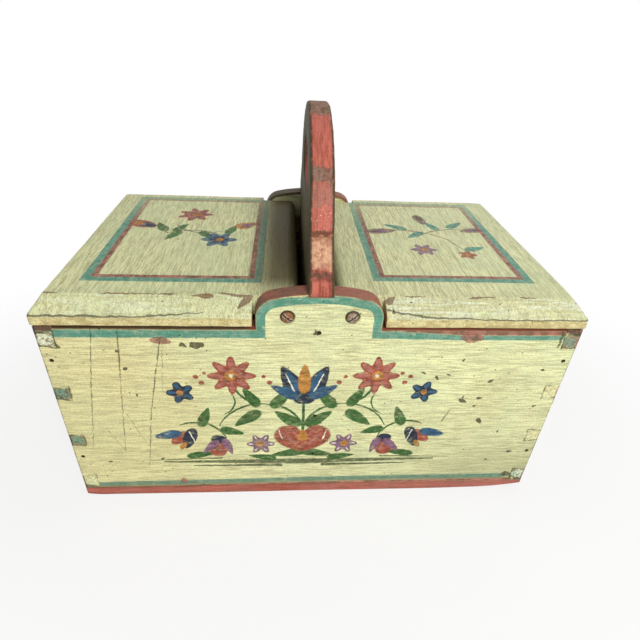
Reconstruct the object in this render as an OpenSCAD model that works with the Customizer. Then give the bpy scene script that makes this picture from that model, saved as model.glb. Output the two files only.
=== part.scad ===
// Sewing carrier with two lids on either side of a fixed handle board.
// The origin is the middle of the underside. X runs along the front, Y to the back, Z up.

/* [Box] */
// Length of the front and back boards
box_length = 300; // [240:1:360]
// Depth of the box over the front and back boards
box_depth = 178; // [150:1:220]
// Height of the front and back boards from the bottom board to the rim
wall_height = 127.5; // [100:0.5:160]
// Thickness of the front and back boards
wall_thickness = 11.5; // [9:0.5:14]
// Thickness of the end boards
end_thickness = 9.5; // [8:0.5:12]
// Thickness of the bottom board
bottom_thickness = 8; // [6:0.5:12]
// Radius of the bottom board's lower edges and upright corners
bottom_round = 3; // [1:0.5:4]

/* [Corner joints] */
// Number of dovetail pins at each corner
pin_count = 4; // [3:1:5]
// Height of a whole pin where it ends at the box's outer edge
pin_height = 8.5; // [6:0.5:10]
// How much wider a pin gets on each side towards the inside
pin_flare = 1.2; // [0.4:0.1:2]
// Distance from a board's top and bottom to the middle of its first pin
pin_edge = 7; // [5:0.5:10]
// Gap left around glued, nailed and screwed pieces
joint_gap = 0.05; // [0.02:0.01:0.1]

/* [Tabs] */
// Width of the raised middle of the front and back boards
tab_width = 69.2; // [60:0.2:80]
// Height of the tab's crown above the rim
tab_height = 22.3; // [20:0.1:28]
// Radius of the gentle curve over the tab's top
tab_crown_radius = 111; // [90:1:160]
// Radius of the tab's shoulders
tab_shoulder_radius = 12; // [8:0.5:14]
// Depth of the notch that takes the handle's foot
notch_depth = 2; // [1:0.1:3]

/* [Lids] */
// Thickness of the lids
lid_thickness = 13; // [11:0.5:15]
// Gap from the front and back rims to the lids' undersides
lid_gap = 1.8; // [1:0.1:3]
// Gap from the end boards' higher tops, where the lids come to rest, to the undersides
rest_gap = 0.3; // [0.2:0.05:0.5]
// How far the lids stand out past the end boards
lid_overhang = 1.5; // [0:0.1:5]
// Height of the upright strip below the bevels
lid_strip = 5.7; // [3:0.1:8]
// Width of the bevel on the front edge, as seen from above
front_bevel = 12.6; // [4:0.2:16]
// Width of the bevel on the back edge, as seen from above
back_bevel = 6.5; // [3:0.2:16]
// Width of the bevel on the outer end, as seen from above
end_bevel = 5.5; // [3:0.1:12]
// Gap between a lid's shoulder and the side of the tab
shoulder_gap = 1.9; // [1.5:0.1:3]
// Gap between a lid's tongue and the tabs in front of it and behind it
tongue_gap = 1; // [0.6:0.1:2]
// Gap between the tongue's round nose and the handle's face
nose_gap = 4.4; // [3.6:0.1:6]

/* [Handle] */
// Thickness of the handle board
handle_thickness = 13.2; // [10:0.2:15]
// Height of the handle's top above the rim
handle_rise = 100.8; // [90:0.2:120]
// Radius of the arch over the handle
arch_radius = 75; // [66:1:80]
// Height of the upright face on the handle's feet
foot_height = 10; // [8:0.5:12]
// How far the feet stand out past the front and back boards
foot_proud = 0.6; // [0:0.1:1.5]
// Width of the flat ledge on top of each foot
foot_ledge = 3; // [1:0.5:5]
// Height of the slope from the ledge up to the arch
shoulder_rise = 18; // [12:1:24]
// Depth of the groove between the slope and the arch
shoulder_groove = 1.4; // [0.6:0.1:2]
// Width of the hand hole
hole_width = 60; // [44:1:80]
// Height of the hand hole
hole_height = 24; // [18:1:28]
// Wood left above the hand hole
hole_cover = 23; // [16:1:34]

/* [Pivot screws] */
// Radius of the smooth shank
shank_radius = 2.1; // [1.6:0.1:2.6]
// Radial clearance of the shank in its bore
shank_clearance = 0.08; // [0.04:0.01:0.1]
// Radius of the thread
thread_radius = 1.9; // [1.4:0.1:2.4]
// Length of the thread with its point
thread_length = 16; // [10:1:22]
// Radius of the round head
head_radius = 3.9; // [3:0.1:5]
// Height of the round head
head_height = 2.3; // [1.6:0.1:3]
// Depth of the recess under the head
recess_depth = 0.9; // [0.4:0.1:1.5]
// Gap around and below the head
head_gap = 0.3; // [0.2:0.05:0.5]
// Width of the screwdriver slot
slot_width = 1; // [0.6:0.1:1.4]
// Depth of the screwdriver slot
slot_depth = 0.9; // [0.5:0.1:1.2]
// How far the slot is turned from level, in degrees
slot_turn = 40; // [0:5:85]

/* [Nails] */
// Radius of a nail
nail_radius = 1.25; // [0.8:0.05:1.6]
// Length of a nail
nail_length = 28; // [22:1:34]
// How deep a nail's end lies below the surface
nail_set = 0.4; // [0.1:0.1:1]
// Distance of the top nails below the rim at the corners
corner_nail_drop = 21; // [18:0.5:28]
// Distance of the lowest nails above the bottom board
low_nail_rise = 30; // [27:0.5:34]
// Distance of the divider's top nail below the rim
divider_nail_drop = 2; // [1.5:0.5:8]
// Number of nails through the bottom board along each long side
bottom_nail_count = 4; // [2:1:6]
// Distance from the box's ends to the first of these nails
bottom_nail_inset = 25; // [18:1:40]
// Distance of the end boards' and divider's bottom nails from the middle
end_nail_spread = 42; // [25:1:55]

/* [Hidden] */
$fn = 96;
// The long arcs have this many sides
arc_fn = 240;
// A cut runs this far past the face that it opens
cut = 1;
half_length = box_length / 2;
half_depth = box_depth / 2;
inner_x = half_length - end_thickness;
inner_y = half_depth - wall_thickness;
rim = bottom_thickness + wall_height;
lid_bottom = rim + lid_gap;
end_top = lid_bottom - rest_gap;
lid_top = lid_bottom + lid_thickness;
lid_end = half_length + lid_overhang;
pivot_x = handle_thickness / 2 + nose_gap + lid_thickness / 2;
pivot_z = lid_bottom + lid_thickness / 2;
tongue_y = inner_y - tongue_gap;
shoulder_x = tab_width / 2 + shoulder_gap;
crown_z = rim + tab_height - tab_crown_radius;
tab_shoulder_x = tab_width / 2 - tab_shoulder_radius;
tab_shoulder_z = crown_z
    + sqrt(pow(tab_crown_radius - tab_shoulder_radius, 2) - pow(tab_shoulder_x, 2));
notch_z = rim + tab_height - notch_depth;
foot_y = half_depth + foot_proud;
foot_top = notch_z + foot_height;
arch_z = rim + handle_rise - arch_radius;
ledge_y = foot_y - foot_ledge;
hole_z = rim + handle_rise - hole_cover - hole_height / 2;
recess_radius = head_radius + head_gap;
// The head's underside lies this far in from the board's face
head_seat = recess_depth - head_gap;
shank_end = wall_thickness + tongue_gap / 2;
nail_hole_radius = nail_radius + joint_gap;

// Draws a YZ outline and carries it along X, centred.
module along_x(length) {
    rotate([90, 0, 90]) linear_extrude(length, center = true) children();
}

// Draws an XZ outline and carries it along Y, centred.
module along_y(length) {
    rotate([90, 0, 0]) linear_extrude(length, center = true) children();
}

// A rectangle with round lower corners, its base on the origin's line.
module round_bottomed(width, height, radius) {
    translate([-width / 2, radius]) square([width, height - radius]);
    translate([radius - width / 2, 0]) square([width - 2 * radius, height]);
    for (side = [-1, 1]) translate([side * (width / 2 - radius), radius]) circle(radius);
}

// A rectangle with four round corners, centred.
module round_cornered(width, depth, radius) {
    square([width - 2 * radius, depth], center = true);
    square([width, depth - 2 * radius], center = true);
    for (x = [-1, 1], y = [-1, 1])
        translate([x * (width / 2 - radius), y * (depth / 2 - radius)]) circle(radius);
}

// The middle height of pin i, counted from the lowest.
function pin_z(i) = bottom_thickness + pin_edge
    + i * (wall_height - 2 * pin_edge) / (pin_count - 1);

// One pin of the right-hand corners in the XZ plane. The first and last run to the edges.
module pin_outline(i, gap) {
    is_low = i == 0;
    is_high = i == pin_count - 1;
    low = is_low ? bottom_thickness : pin_z(i) - pin_height / 2 - gap;
    high = is_high ? end_top : pin_z(i) + pin_height / 2 + gap;
    low_flare = is_low ? 0 : pin_flare;
    high_flare = is_high ? 0 : pin_flare;
    // The outline follows its slope a little past both faces when it is a cut
    reach = gap > 0 ? cut : 0;
    slope = reach / end_thickness;
    polygon([
        [half_length + reach, low + low_flare * slope],
        [half_length + reach, high - high_flare * slope],
        [inner_x - gap, high + high_flare],
        [inner_x - gap, low - low_flare]
    ]);
}

// The raised middle of a long board in the XZ plane.
module tab_outline() {
    intersection() {
        translate([0, crown_z]) circle(tab_crown_radius, $fn = arc_fn);
        union() {
            translate([-tab_width / 2, rim - wall_thickness])
                square([tab_width, tab_shoulder_z - rim + wall_thickness]);
            translate([-tab_shoulder_x, rim]) square([2 * tab_shoulder_x, tab_height + cut]);
            for (side = [-1, 1])
                translate([side * tab_shoulder_x, tab_shoulder_z]) circle(tab_shoulder_radius);
        }
    }
}

// The outline of a long board with its tab, the notch for the handle's foot and no joints yet.
module long_board_outline() {
    notch_width = handle_thickness + 2 * joint_gap;
    difference() {
        union() {
            translate([-half_length, bottom_thickness]) square([box_length, wall_height]);
            tab_outline();
        }
        translate([-notch_width / 2, notch_z]) square([notch_width, notch_depth + cut]);
    }
}

// A nail's body along +Y from the outside of a board, or the hole that it fills.
module nail(radius, start) {
    rotate([-90, 0, 0]) translate([0, 0, start]) cylinder(h = nail_length - start, r = radius);
}

// Places a child at each nail that joins the front board to the divider.
module at_divider_nails() {
    for (z = [rim - divider_nail_drop, rim - wall_height / 2, bottom_thickness + low_nail_rise])
        translate([0, -half_depth, z]) children();
}

// Places a child at each nail that joins the front board to the end boards.
module at_corner_nails() {
    for (side = [-1, 1], z = [rim - corner_nail_drop, bottom_thickness + low_nail_rise])
        translate([side * (half_length - end_thickness / 2), -half_depth, z]) children();
}

// Places a child at each nail that goes up through the bottom board.
module at_bottom_nails() {
    pitch = (box_length - 2 * bottom_nail_inset) / (bottom_nail_count - 1);
    for (side = [-1, 1], i = [0 : bottom_nail_count - 1])
        translate([i * pitch - half_length + bottom_nail_inset, side * (half_depth - wall_thickness / 2), 0])
            children();
    for (x = [-1, 0, 1], side = [-1, 1])
        translate([x * (half_length - end_thickness / 2), side * end_nail_spread, 0]) children();
}

// The holes that all nails fill, in whatever board they pass.
module nail_holes() {
    for (turn = [0, 180]) rotate([0, 0, turn]) {
        at_divider_nails() nail(nail_hole_radius, -cut);
        at_corner_nails() nail(nail_hole_radius, -cut);
    }
    at_bottom_nails() rotate([90, 0, 0]) nail(nail_hole_radius, -cut);
}

// A long board at the front, with sockets for the pins and bores for the pivot screws.
module long_board() {
    difference() {
        translate([0, wall_thickness / 2 - half_depth, 0]) along_y(wall_thickness) long_board_outline();
        for (side = [0, 1], i = [0 : pin_count - 1])
            mirror([side, 0, 0]) translate([0, wall_thickness / 2 - half_depth, 0])
                along_y(wall_thickness + 2 * cut) pin_outline(i, joint_gap);
        for (side = [-1, 1]) translate([side * pivot_x, -half_depth, pivot_z]) rotate([-90, 0, 0]) {
            translate([0, 0, -cut]) cylinder(h = wall_thickness + 2 * cut, r = shank_radius + shank_clearance);
            translate([0, 0, -cut]) cylinder(h = recess_depth + cut, r = recess_radius);
        }
        nail_holes();
    }
}

// The right-hand end board with its pins.
module end_board() {
    core_depth = 2 * (inner_y - joint_gap);
    difference() {
        union() {
            translate([half_length - end_thickness / 2, 0, 0]) along_x(end_thickness)
                translate([-core_depth / 2, bottom_thickness]) square([core_depth, end_top - bottom_thickness]);
            for (i = [0 : pin_count - 1]) along_y(box_depth) pin_outline(i, 0);
        }
        nail_holes();
    }
}

// The bottom board, flush with the walls, its lower edges and corners rounded by wear.
module bottom_board_shape() {
    difference() {
        intersection() {
            along_x(box_length) round_bottomed(box_depth, bottom_thickness, bottom_round);
            along_y(box_depth) round_bottomed(box_length, bottom_thickness, bottom_round);
            linear_extrude(bottom_thickness) round_cornered(box_length, box_depth, bottom_round);
        }
        nail_holes();
    }
}

// One half of the handle board above its feet: the slope from the ledge to the arch.
module handle_shoulder() {
    meet_z = foot_top + shoulder_rise;
    meet_y = sqrt(pow(arch_radius, 2) - pow(meet_z - arch_z, 2));
    difference() {
        polygon([[0, foot_top], [ledge_y, foot_top], [meet_y, meet_z], [0, meet_z]]);
        // The groove lies across the corner that the slope and the arch make
        translate([meet_y, meet_z]) circle(shoulder_groove);
    }
}

// The handle board's outline in the YZ plane.
module handle_outline() {
    divider_y = inner_y - joint_gap;
    difference() {
        union() {
            translate([-divider_y, bottom_thickness]) square([2 * divider_y, foot_top - bottom_thickness]);
            translate([-foot_y, notch_z]) square([2 * foot_y, foot_height]);
            intersection() {
                translate([0, arch_z]) circle(arch_radius, $fn = arc_fn);
                translate([-arch_radius, foot_top]) square([2 * arch_radius, handle_rise]);
            }
            for (side = [0, 1]) mirror([side, 0]) handle_shoulder();
        }
        translate([0, hole_z]) {
            square([hole_width - hole_height, hole_height], center = true);
            for (side = [-1, 1]) translate([side * (hole_width - hole_height) / 2, 0]) circle(d = hole_height);
        }
    }
}

// The right-hand lid: a bevelled board with a round-nosed tongue between the tabs.
module lid() {
    bevel_z = lid_bottom + lid_strip;
    difference() {
        intersection() {
            along_y(box_depth + 2 * cut) union() {
                translate([pivot_x, pivot_z]) circle(lid_thickness / 2);
                polygon([
                    [pivot_x, lid_bottom], [lid_end, lid_bottom], [lid_end, bevel_z],
                    [lid_end - end_bevel, lid_top], [pivot_x, lid_top]
                ]);
            }
            along_x(2 * (lid_end + cut)) polygon([
                [-half_depth, lid_bottom], [half_depth, lid_bottom], [half_depth, bevel_z],
                [half_depth - back_bevel, lid_top], [front_bevel - half_depth, lid_top],
                [-half_depth, bevel_z]
            ]);
        }
        for (turn = [0, 1]) mirror([0, turn, 0]) {
            translate([-cut, tongue_y, lid_bottom - cut])
                cube([shoulder_x + cut, half_depth, lid_thickness + 2 * cut]);
            translate([pivot_x, -half_depth, pivot_z]) rotate([-90, 0, 0])
                cylinder(h = shank_end + thread_length + joint_gap, r = thread_radius + joint_gap);
        }
    }
}

// A pivot screw at the front right: round slotted head, smooth shank, thread and point.
module pivot_screw() {
    ball = (head_radius * head_radius + head_height * head_height) / (2 * head_height);
    point_length = 2 * thread_radius;
    translate([pivot_x, -half_depth, pivot_z]) rotate([-90, 0, 0]) {
        difference() {
            translate([0, 0, head_seat]) mirror([0, 0, 1]) rotate_extrude() intersection() {
                translate([0, head_height - ball]) circle(ball);
                square([head_radius, head_height]);
            }
            rotate([0, 0, slot_turn]) translate([0, 0, head_seat - head_height])
                cube([3 * head_radius, slot_width, 2 * slot_depth], center = true);
        }
        translate([0, 0, head_seat]) cylinder(h = shank_end - head_seat, r = shank_radius);
        translate([0, 0, shank_end]) cylinder(h = thread_length - point_length, r = thread_radius);
        translate([0, 0, shank_end + thread_length - point_length])
            cylinder(h = point_length, r1 = thread_radius, r2 = thread_radius / 8);
    }
}

module front_board() {
    color([0.80, 0.79, 0.58]) long_board();
}

module back_board() {
    color([0.78, 0.77, 0.57]) rotate([0, 0, 180]) long_board();
}

module left_end_board() {
    color([0.76, 0.75, 0.55]) mirror([1, 0, 0]) end_board();
}

module right_end_board() {
    color([0.76, 0.75, 0.55]) end_board();
}

module bottom_board() {
    color([0.60, 0.30, 0.24]) bottom_board_shape();
}

module handle_board() {
    color([0.72, 0.36, 0.31]) difference() {
        along_x(handle_thickness) handle_outline();
        nail_holes();
    }
}

module left_lid() {
    color([0.80, 0.78, 0.56]) mirror([1, 0, 0]) lid();
}

module right_lid() {
    color([0.80, 0.78, 0.56]) lid();
}

module front_left_screw() {
    color([0.45, 0.33, 0.25]) mirror([1, 0, 0]) pivot_screw();
}

module front_right_screw() {
    color([0.62, 0.60, 0.56]) pivot_screw();
}

module back_left_screw() {
    color([0.50, 0.42, 0.34]) rotate([0, 0, 180]) pivot_screw();
}

module back_right_screw() {
    color([0.50, 0.42, 0.34]) mirror([0, 1, 0]) pivot_screw();
}

module front_divider_nails() {
    color([0.25, 0.22, 0.18]) at_divider_nails() nail(nail_radius, nail_set);
}

module back_divider_nails() {
    color([0.25, 0.22, 0.18]) rotate([0, 0, 180]) at_divider_nails() nail(nail_radius, nail_set);
}

module front_corner_nails() {
    color([0.25, 0.22, 0.18]) at_corner_nails() nail(nail_radius, nail_set);
}

module back_corner_nails() {
    color([0.25, 0.22, 0.18]) rotate([0, 0, 180]) at_corner_nails() nail(nail_radius, nail_set);
}

module bottom_nails() {
    color([0.25, 0.22, 0.18]) at_bottom_nails() rotate([90, 0, 0]) nail(nail_radius, nail_set);
}

front_board();
back_board();
left_end_board();
right_end_board();
bottom_board();
handle_board();
left_lid();
right_lid();
front_left_screw();
front_right_screw();
back_left_screw();
back_right_screw();
front_divider_nails();
back_divider_nails();
front_corner_nails();
back_corner_nails();
bottom_nails();
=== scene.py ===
"""Looks of a painted wooden sewing carrier with two lids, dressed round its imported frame.

Lengths are in millimetres here and inside the shaders, and go into the meshes as metres.
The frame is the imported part's: the origin is the middle of the underside, +X runs along the
front to the right, +Y from the front to the back and +Z up.
"""
import functools
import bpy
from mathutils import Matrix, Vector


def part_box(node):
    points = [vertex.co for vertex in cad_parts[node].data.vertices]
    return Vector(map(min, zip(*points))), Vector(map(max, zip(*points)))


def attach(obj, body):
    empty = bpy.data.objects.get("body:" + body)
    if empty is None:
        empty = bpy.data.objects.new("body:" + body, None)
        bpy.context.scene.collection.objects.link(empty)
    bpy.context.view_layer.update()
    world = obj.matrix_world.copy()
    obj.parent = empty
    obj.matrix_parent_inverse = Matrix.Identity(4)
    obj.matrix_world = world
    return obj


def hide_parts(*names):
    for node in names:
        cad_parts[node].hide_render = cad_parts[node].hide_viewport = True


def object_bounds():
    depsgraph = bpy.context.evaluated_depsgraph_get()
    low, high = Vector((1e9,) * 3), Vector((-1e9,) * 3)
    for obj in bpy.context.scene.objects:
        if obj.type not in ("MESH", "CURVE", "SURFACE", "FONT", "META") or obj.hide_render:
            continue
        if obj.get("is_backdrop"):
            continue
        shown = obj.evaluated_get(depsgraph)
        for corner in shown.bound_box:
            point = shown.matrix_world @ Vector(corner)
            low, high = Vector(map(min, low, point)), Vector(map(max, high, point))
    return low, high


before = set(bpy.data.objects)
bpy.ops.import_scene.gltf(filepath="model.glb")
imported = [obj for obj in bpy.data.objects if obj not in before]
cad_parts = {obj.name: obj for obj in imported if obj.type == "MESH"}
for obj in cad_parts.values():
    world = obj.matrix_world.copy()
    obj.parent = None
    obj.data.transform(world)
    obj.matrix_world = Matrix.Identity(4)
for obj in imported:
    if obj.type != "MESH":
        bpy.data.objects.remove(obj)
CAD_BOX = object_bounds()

import inspect
import logging
import math
from collections.abc import Callable, Sequence
from dataclasses import dataclass
from enum import Enum
from itertools import product

import bmesh
import bpy
import numpy as np
from mathutils import Matrix, Vector

LOG = logging.getLogger("carrier")
MM = 0.001
LATTICE = 32
NEAR = 0.1
SMOOTH_ANGLE = math.radians(32)

Colour = tuple[float, float, float, float]
Pair = tuple[float, float]
Triple = tuple[float, float, float]


class Pigment(Enum):
    """The colours of the carrier, as linear red, green, blue and alpha."""

    PALE = (0.78, 0.79, 0.45, 1.0)
    STRAW = (0.58, 0.56, 0.29, 1.0)
    CREAM = (0.76, 0.67, 0.33, 1.0)
    SAGE = (0.68, 0.73, 0.41, 1.0)
    CHALK = (0.78, 0.84, 0.62, 1.0)
    OCHRE_WASH = (0.55, 0.43, 0.18, 1.0)
    MOSS_PALE = (0.42, 0.43, 0.24, 1.0)
    TEAL = (0.07, 0.28, 0.205, 1.0)
    TEAL_WORN = (0.17, 0.35, 0.26, 1.0)
    BRICK = (0.36, 0.085, 0.05, 1.0)
    BRICK_LIGHT = (0.50, 0.14, 0.10, 1.0)
    ROSE = (0.42, 0.155, 0.12, 1.0)
    PLUM = (0.18, 0.065, 0.045, 1.0)
    OLIVE = (0.10, 0.08, 0.03, 1.0)
    OLIVE_DARK = (0.045, 0.035, 0.016, 1.0)
    OLIVE_GREY = (0.13, 0.115, 0.065, 1.0)
    UMBER = (0.07, 0.045, 0.022, 1.0)
    GREY_BROWN = (0.24, 0.16, 0.115, 1.0)
    BARE = (0.50, 0.33, 0.16, 1.0)
    BARE_LIGHT = (0.70, 0.42, 0.25, 1.0)
    BARE_PINK = (0.50, 0.24, 0.15, 1.0)
    BARE_DARK = (0.22, 0.12, 0.055, 1.0)
    SOOT = (0.03, 0.022, 0.012, 1.0)
    NAVY = (0.018, 0.030, 0.055, 1.0)
    BLUE = (0.035, 0.11, 0.20, 1.0)
    LEAF = (0.045, 0.14, 0.03, 1.0)
    MOSS = (0.13, 0.16, 0.07, 1.0)
    OCHRE = (0.52, 0.24, 0.05, 1.0)
    MAUVE = (0.25, 0.13, 0.20, 1.0)
    WHITE = (0.84, 0.82, 0.68, 1.0)
    TWIG = (0.19, 0.15, 0.09, 1.0)
    STEEL = (0.55, 0.50, 0.42, 1.0)
    BRONZE = (0.36, 0.22, 0.13, 1.0)
    RUST = (0.30, 0.13, 0.06, 1.0)
    IRON = (0.10, 0.08, 0.06, 1.0)


@dataclass(frozen=True)
class Sizes:
    """Sizes of the carrier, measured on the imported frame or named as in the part's source."""

    half_length: float
    half_depth: float
    wall: float
    end: float
    base: float
    end_top: float
    tab_top: float
    lid_low: float
    lid_high: float
    lid_end: float
    handle_half: float
    handle_top: float
    foot_y: float
    lid_gap: float = 1.8
    tab_half: float = 34.6
    crown_radius: float = 111.0
    shoulder_radius: float = 12.0
    notch_depth: float = 2.0
    pin_count: int = 4
    pin_height: float = 8.5
    pin_flare: float = 1.2
    pin_edge: float = 7.0
    joint_gap: float = 0.05
    lid_strip: float = 5.7
    front_bevel: float = 12.6
    back_bevel: float = 6.5
    end_bevel: float = 5.5
    shoulder_gap: float = 1.9
    tongue_gap: float = 1.0
    nose_gap: float = 4.4
    arch_radius: float = 75.0
    foot_height: float = 10.0
    foot_ledge: float = 3.0
    shoulder_rise: float = 18.0
    shoulder_groove: float = 1.4
    hole_width: float = 60.0
    hole_height: float = 24.0
    hole_cover: float = 23.0
    shank_bore: float = 2.18
    thread_bore: float = 1.95
    thread_reach: float = 28.05
    recess_radius: float = 4.2
    recess_depth: float = 0.9
    nail_bore: float = 1.3
    nail_length: float = 28.0
    corner_nail_drop: float = 21.0
    low_nail_rise: float = 30.0
    divider_nail_drop: float = 2.0
    bottom_nail_count: int = 4
    bottom_nail_inset: float = 25.0
    end_nail_spread: float = 42.0
    slot_turn: float = 40.0

    @classmethod
    def measured(cls) -> "Sizes":
        """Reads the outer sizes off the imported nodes' boxes.

        Returns:
            The sizes, in millimetres.
        """
        low, high = (np.array(corner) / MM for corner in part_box("front_board"))
        _, base = (np.array(corner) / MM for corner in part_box("bottom_board"))
        end_low, end_high = (np.array(corner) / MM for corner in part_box("right_end_board"))
        lid_low, lid_high = (np.array(corner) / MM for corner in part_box("right_lid"))
        _, handle = (np.array(corner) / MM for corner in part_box("handle_board"))
        return cls(
            half_length=high[0], half_depth=-low[1], wall=high[1] - low[1],
            end=end_high[0] - end_low[0], base=base[2], end_top=end_high[2], tab_top=high[2],
            lid_low=lid_low[2], lid_high=lid_high[2], lid_end=lid_high[0],
            handle_half=handle[0], handle_top=handle[2], foot_y=handle[1],
        )

    @property
    def rim(self) -> float:
        """Height of the front and back boards' rims."""
        return self.lid_low - self.lid_gap

    @property
    def inner_x(self) -> float:
        """Distance from the middle to the end boards' inner faces."""
        return self.half_length - self.end

    @property
    def inner_y(self) -> float:
        """Distance from the middle to the long boards' inner faces."""
        return self.half_depth - self.wall

    @property
    def lid_thickness(self) -> float:
        """Thickness of a lid."""
        return self.lid_high - self.lid_low

    @property
    def pivot(self) -> Pair:
        """Distance of a pivot from the middle, and its height."""
        radius = self.lid_thickness / 2
        return self.handle_half + self.nose_gap + radius, self.lid_low + radius

    @property
    def shoulder_x(self) -> float:
        """Distance from the middle to the lids' shoulders."""
        return self.tab_half + self.shoulder_gap

    @property
    def tongue_y(self) -> float:
        """Distance from the middle to the tongues' flat ends."""
        return self.inner_y - self.tongue_gap

    @property
    def strip_top(self) -> float:
        """Height at which the lids' bevels start."""
        return self.lid_low + self.lid_strip

    @property
    def crown_z(self) -> float:
        """Height of the centre of the tab's crown."""
        return self.tab_top - self.crown_radius

    @property
    def tab_shoulder(self) -> Pair:
        """Centre of the tab's right shoulder arc."""
        x = self.tab_half - self.shoulder_radius
        return x, self.crown_z + math.sqrt((self.crown_radius - self.shoulder_radius) ** 2 - x * x)

    @property
    def notch_z(self) -> float:
        """Height of the notch that takes the handle's foot."""
        return self.tab_top - self.notch_depth

    @property
    def foot_top(self) -> float:
        """Height of the ledge over the handle's feet."""
        return self.notch_z + self.foot_height

    @property
    def arch_z(self) -> float:
        """Height of the centre of the handle's arch."""
        return self.handle_top - self.arch_radius

    @property
    def hole_z(self) -> float:
        """Height of the middle of the hand hole."""
        return self.handle_top - self.hole_cover - self.hole_height / 2

    def pin_z(self, index: int) -> float:
        """Returns the middle height of a dovetail pin, counted from the lowest."""
        pitch = (self.rim - self.base - 2 * self.pin_edge) / (self.pin_count - 1)
        return self.base + self.pin_edge + index * pitch


SIZES = Sizes.measured()


# Shapes worked out as arrays


def smooth_noise(points: np.ndarray, size: float, seed: int) -> np.ndarray:
    """Random values that change smoothly in space.

    The value at a point is the blend of the eight random values at the corners of its lattice
    cell, each weighted by the product over the axes of 3 t^2 - 2 t^3 of its nearness.

    Args:
        points: Places, with their three coordinates last.
        size: Edge of a lattice cell.
        seed: Picks the lattice.

    Returns:
        Values from -1 to 1, one for each place.
    """
    values = np.random.default_rng(seed).uniform(-1, 1, (LATTICE,) * 3)
    scaled = np.asarray(points, float) / size
    base = np.floor(scaled).astype(int)
    part = scaled - base
    part = part * part * (3 - 2 * part)
    total = np.zeros(scaled.shape[:-1])
    for corner in product((0, 1), repeat=3):
        weight = np.prod(np.where(corner, part, 1 - part), axis=-1)
        total += weight * values[tuple(np.moveaxis((base + corner) % LATTICE, -1, 0))]
    return total


def smooth_min(first: np.ndarray, second: np.ndarray, reach: float) -> np.ndarray:
    """The lower of two heights, with a round blend where they differ by less than reach."""
    share = np.clip(0.5 + 0.5 * (second - first) / reach, 0, 1)
    return second * (1 - share) + first * share - reach * share * (1 - share)


def round_drop(inside: np.ndarray, radius: float | np.ndarray) -> np.ndarray:
    """How far a quarter round falls: radius - sqrt(radius^2 - (radius - inside)^2) near an edge."""
    left = np.clip(radius - inside, 0, radius)
    return radius - np.sqrt(np.maximum(radius**2 - left**2, 0))


def steps(start: float, end: float, step: float) -> np.ndarray:
    """Even places from start to end, about a step apart."""
    return np.linspace(start, end, max(int(round(abs(end - start) / step)), 1) + 1)


def quarter(edge: float, radius: float, count: int = 5) -> np.ndarray:
    """Places from an edge inwards that sample a quarter round: radius (1 - cos a)."""
    return edge + radius * (1 - np.cos(np.linspace(0, math.pi / 2, count)))


def arc(centre: Pair, radius: float, start: float, end: float, count: int) -> np.ndarray:
    """Points centre + radius (cos a, sin a), with a from start to end in degrees."""
    angle = np.radians(np.linspace(start, end, count))
    return np.array(centre) + radius * np.stack([np.cos(angle), np.sin(angle)], 1)


def refined(outline: np.ndarray, weight: np.ndarray, step: float) -> tuple[np.ndarray, np.ndarray]:
    """Splits a closed outline's long stretches by straight interpolation.

    Args:
        outline: Corner points, one row each.
        weight: A value for the stretch that follows each point.
        step: The longest stretch to leave.

    Returns:
        The new points, and the value of the stretch that follows each.
    """
    following = np.roll(outline, -1, 0)
    length = np.linalg.norm(following - outline, axis=1)
    pieces = np.maximum(np.ceil(length / step), 1).astype(int)
    start = np.repeat(np.arange(len(outline)), pieces)
    part = np.arange(pieces.sum()) - np.repeat(np.cumsum(pieces) - pieces, pieces)
    share = (part / pieces[start])[:, None]
    return outline[start] * (1 - share) + following[start] * share, weight[start]


def inset(outline: np.ndarray, reach: np.ndarray, weight: np.ndarray) -> np.ndarray:
    """Moves a closed outline inwards, each stretch by its own share, with mitred corners.

    A point at a corner moves by d, where n1 . d and n2 . d are its reach times the shares of
    its two stretches, and n1 and n2 their inward normals. On a nearly straight run it moves
    along the mean normal by the mean of the two.

    Args:
        outline: Points in anticlockwise order.
        reach: Depth of the move, for each point.
        weight: Share of it for the stretch that follows each point.

    Returns:
        The moved points.
    """
    along = np.roll(outline, -1, 0) - outline
    along /= np.linalg.norm(along, axis=1)[:, None]
    second = np.stack([-along[:, 1], along[:, 0]], 1)
    first = np.roll(second, 1, 0)
    before = np.roll(weight, 1)
    turn = first[:, 0] * second[:, 1] - first[:, 1] * second[:, 0]
    bent = np.abs(turn) > 0.35
    safe = np.where(bent, turn, 1.0)
    mitred = np.stack([
        (before * second[:, 1] - weight * first[:, 1]) / safe,
        (weight * first[:, 0] - before * second[:, 0]) / safe,
    ], 1)
    middle = (first + second) / np.linalg.norm(first + second, axis=1)[:, None]
    plain = middle * ((before + weight) / 2)[:, None]
    return outline + np.where(bent[:, None], mitred, plain) * reach[:, None]


def perimeter(rows: int, columns: int, notch: tuple[int, int, int]) -> tuple[np.ndarray, np.ndarray]:
    """The closed path round a grid whose two low-row corners may be notched out.

    Args:
        rows: Number of grid rows.
        columns: Number of grid columns.
        notch: First full row, and the first and last column of the rows before it.

    Returns:
        Row and column numbers along the path, with the start repeated at the end.
    """
    full, low, high = notch

    def run(start: int, end: int) -> np.ndarray:
        """Whole numbers from start towards end, without end."""
        return np.arange(start, end, 1 if end > start else -1)

    legs = [
        (run(0, full), low), (full, run(low, 0)), (run(full, rows - 1), 0),
        (rows - 1, run(0, columns - 1)), (run(rows - 1, full), columns - 1),
        (full, run(columns - 1, high)), (run(full, 0), high), (0, run(high, low)),
    ]
    path = np.concatenate([np.stack(np.broadcast_arrays(*leg), 1) for leg in legs])
    path = np.concatenate([path, path[:1]])
    return path[:, 0], path[:, 1]


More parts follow.
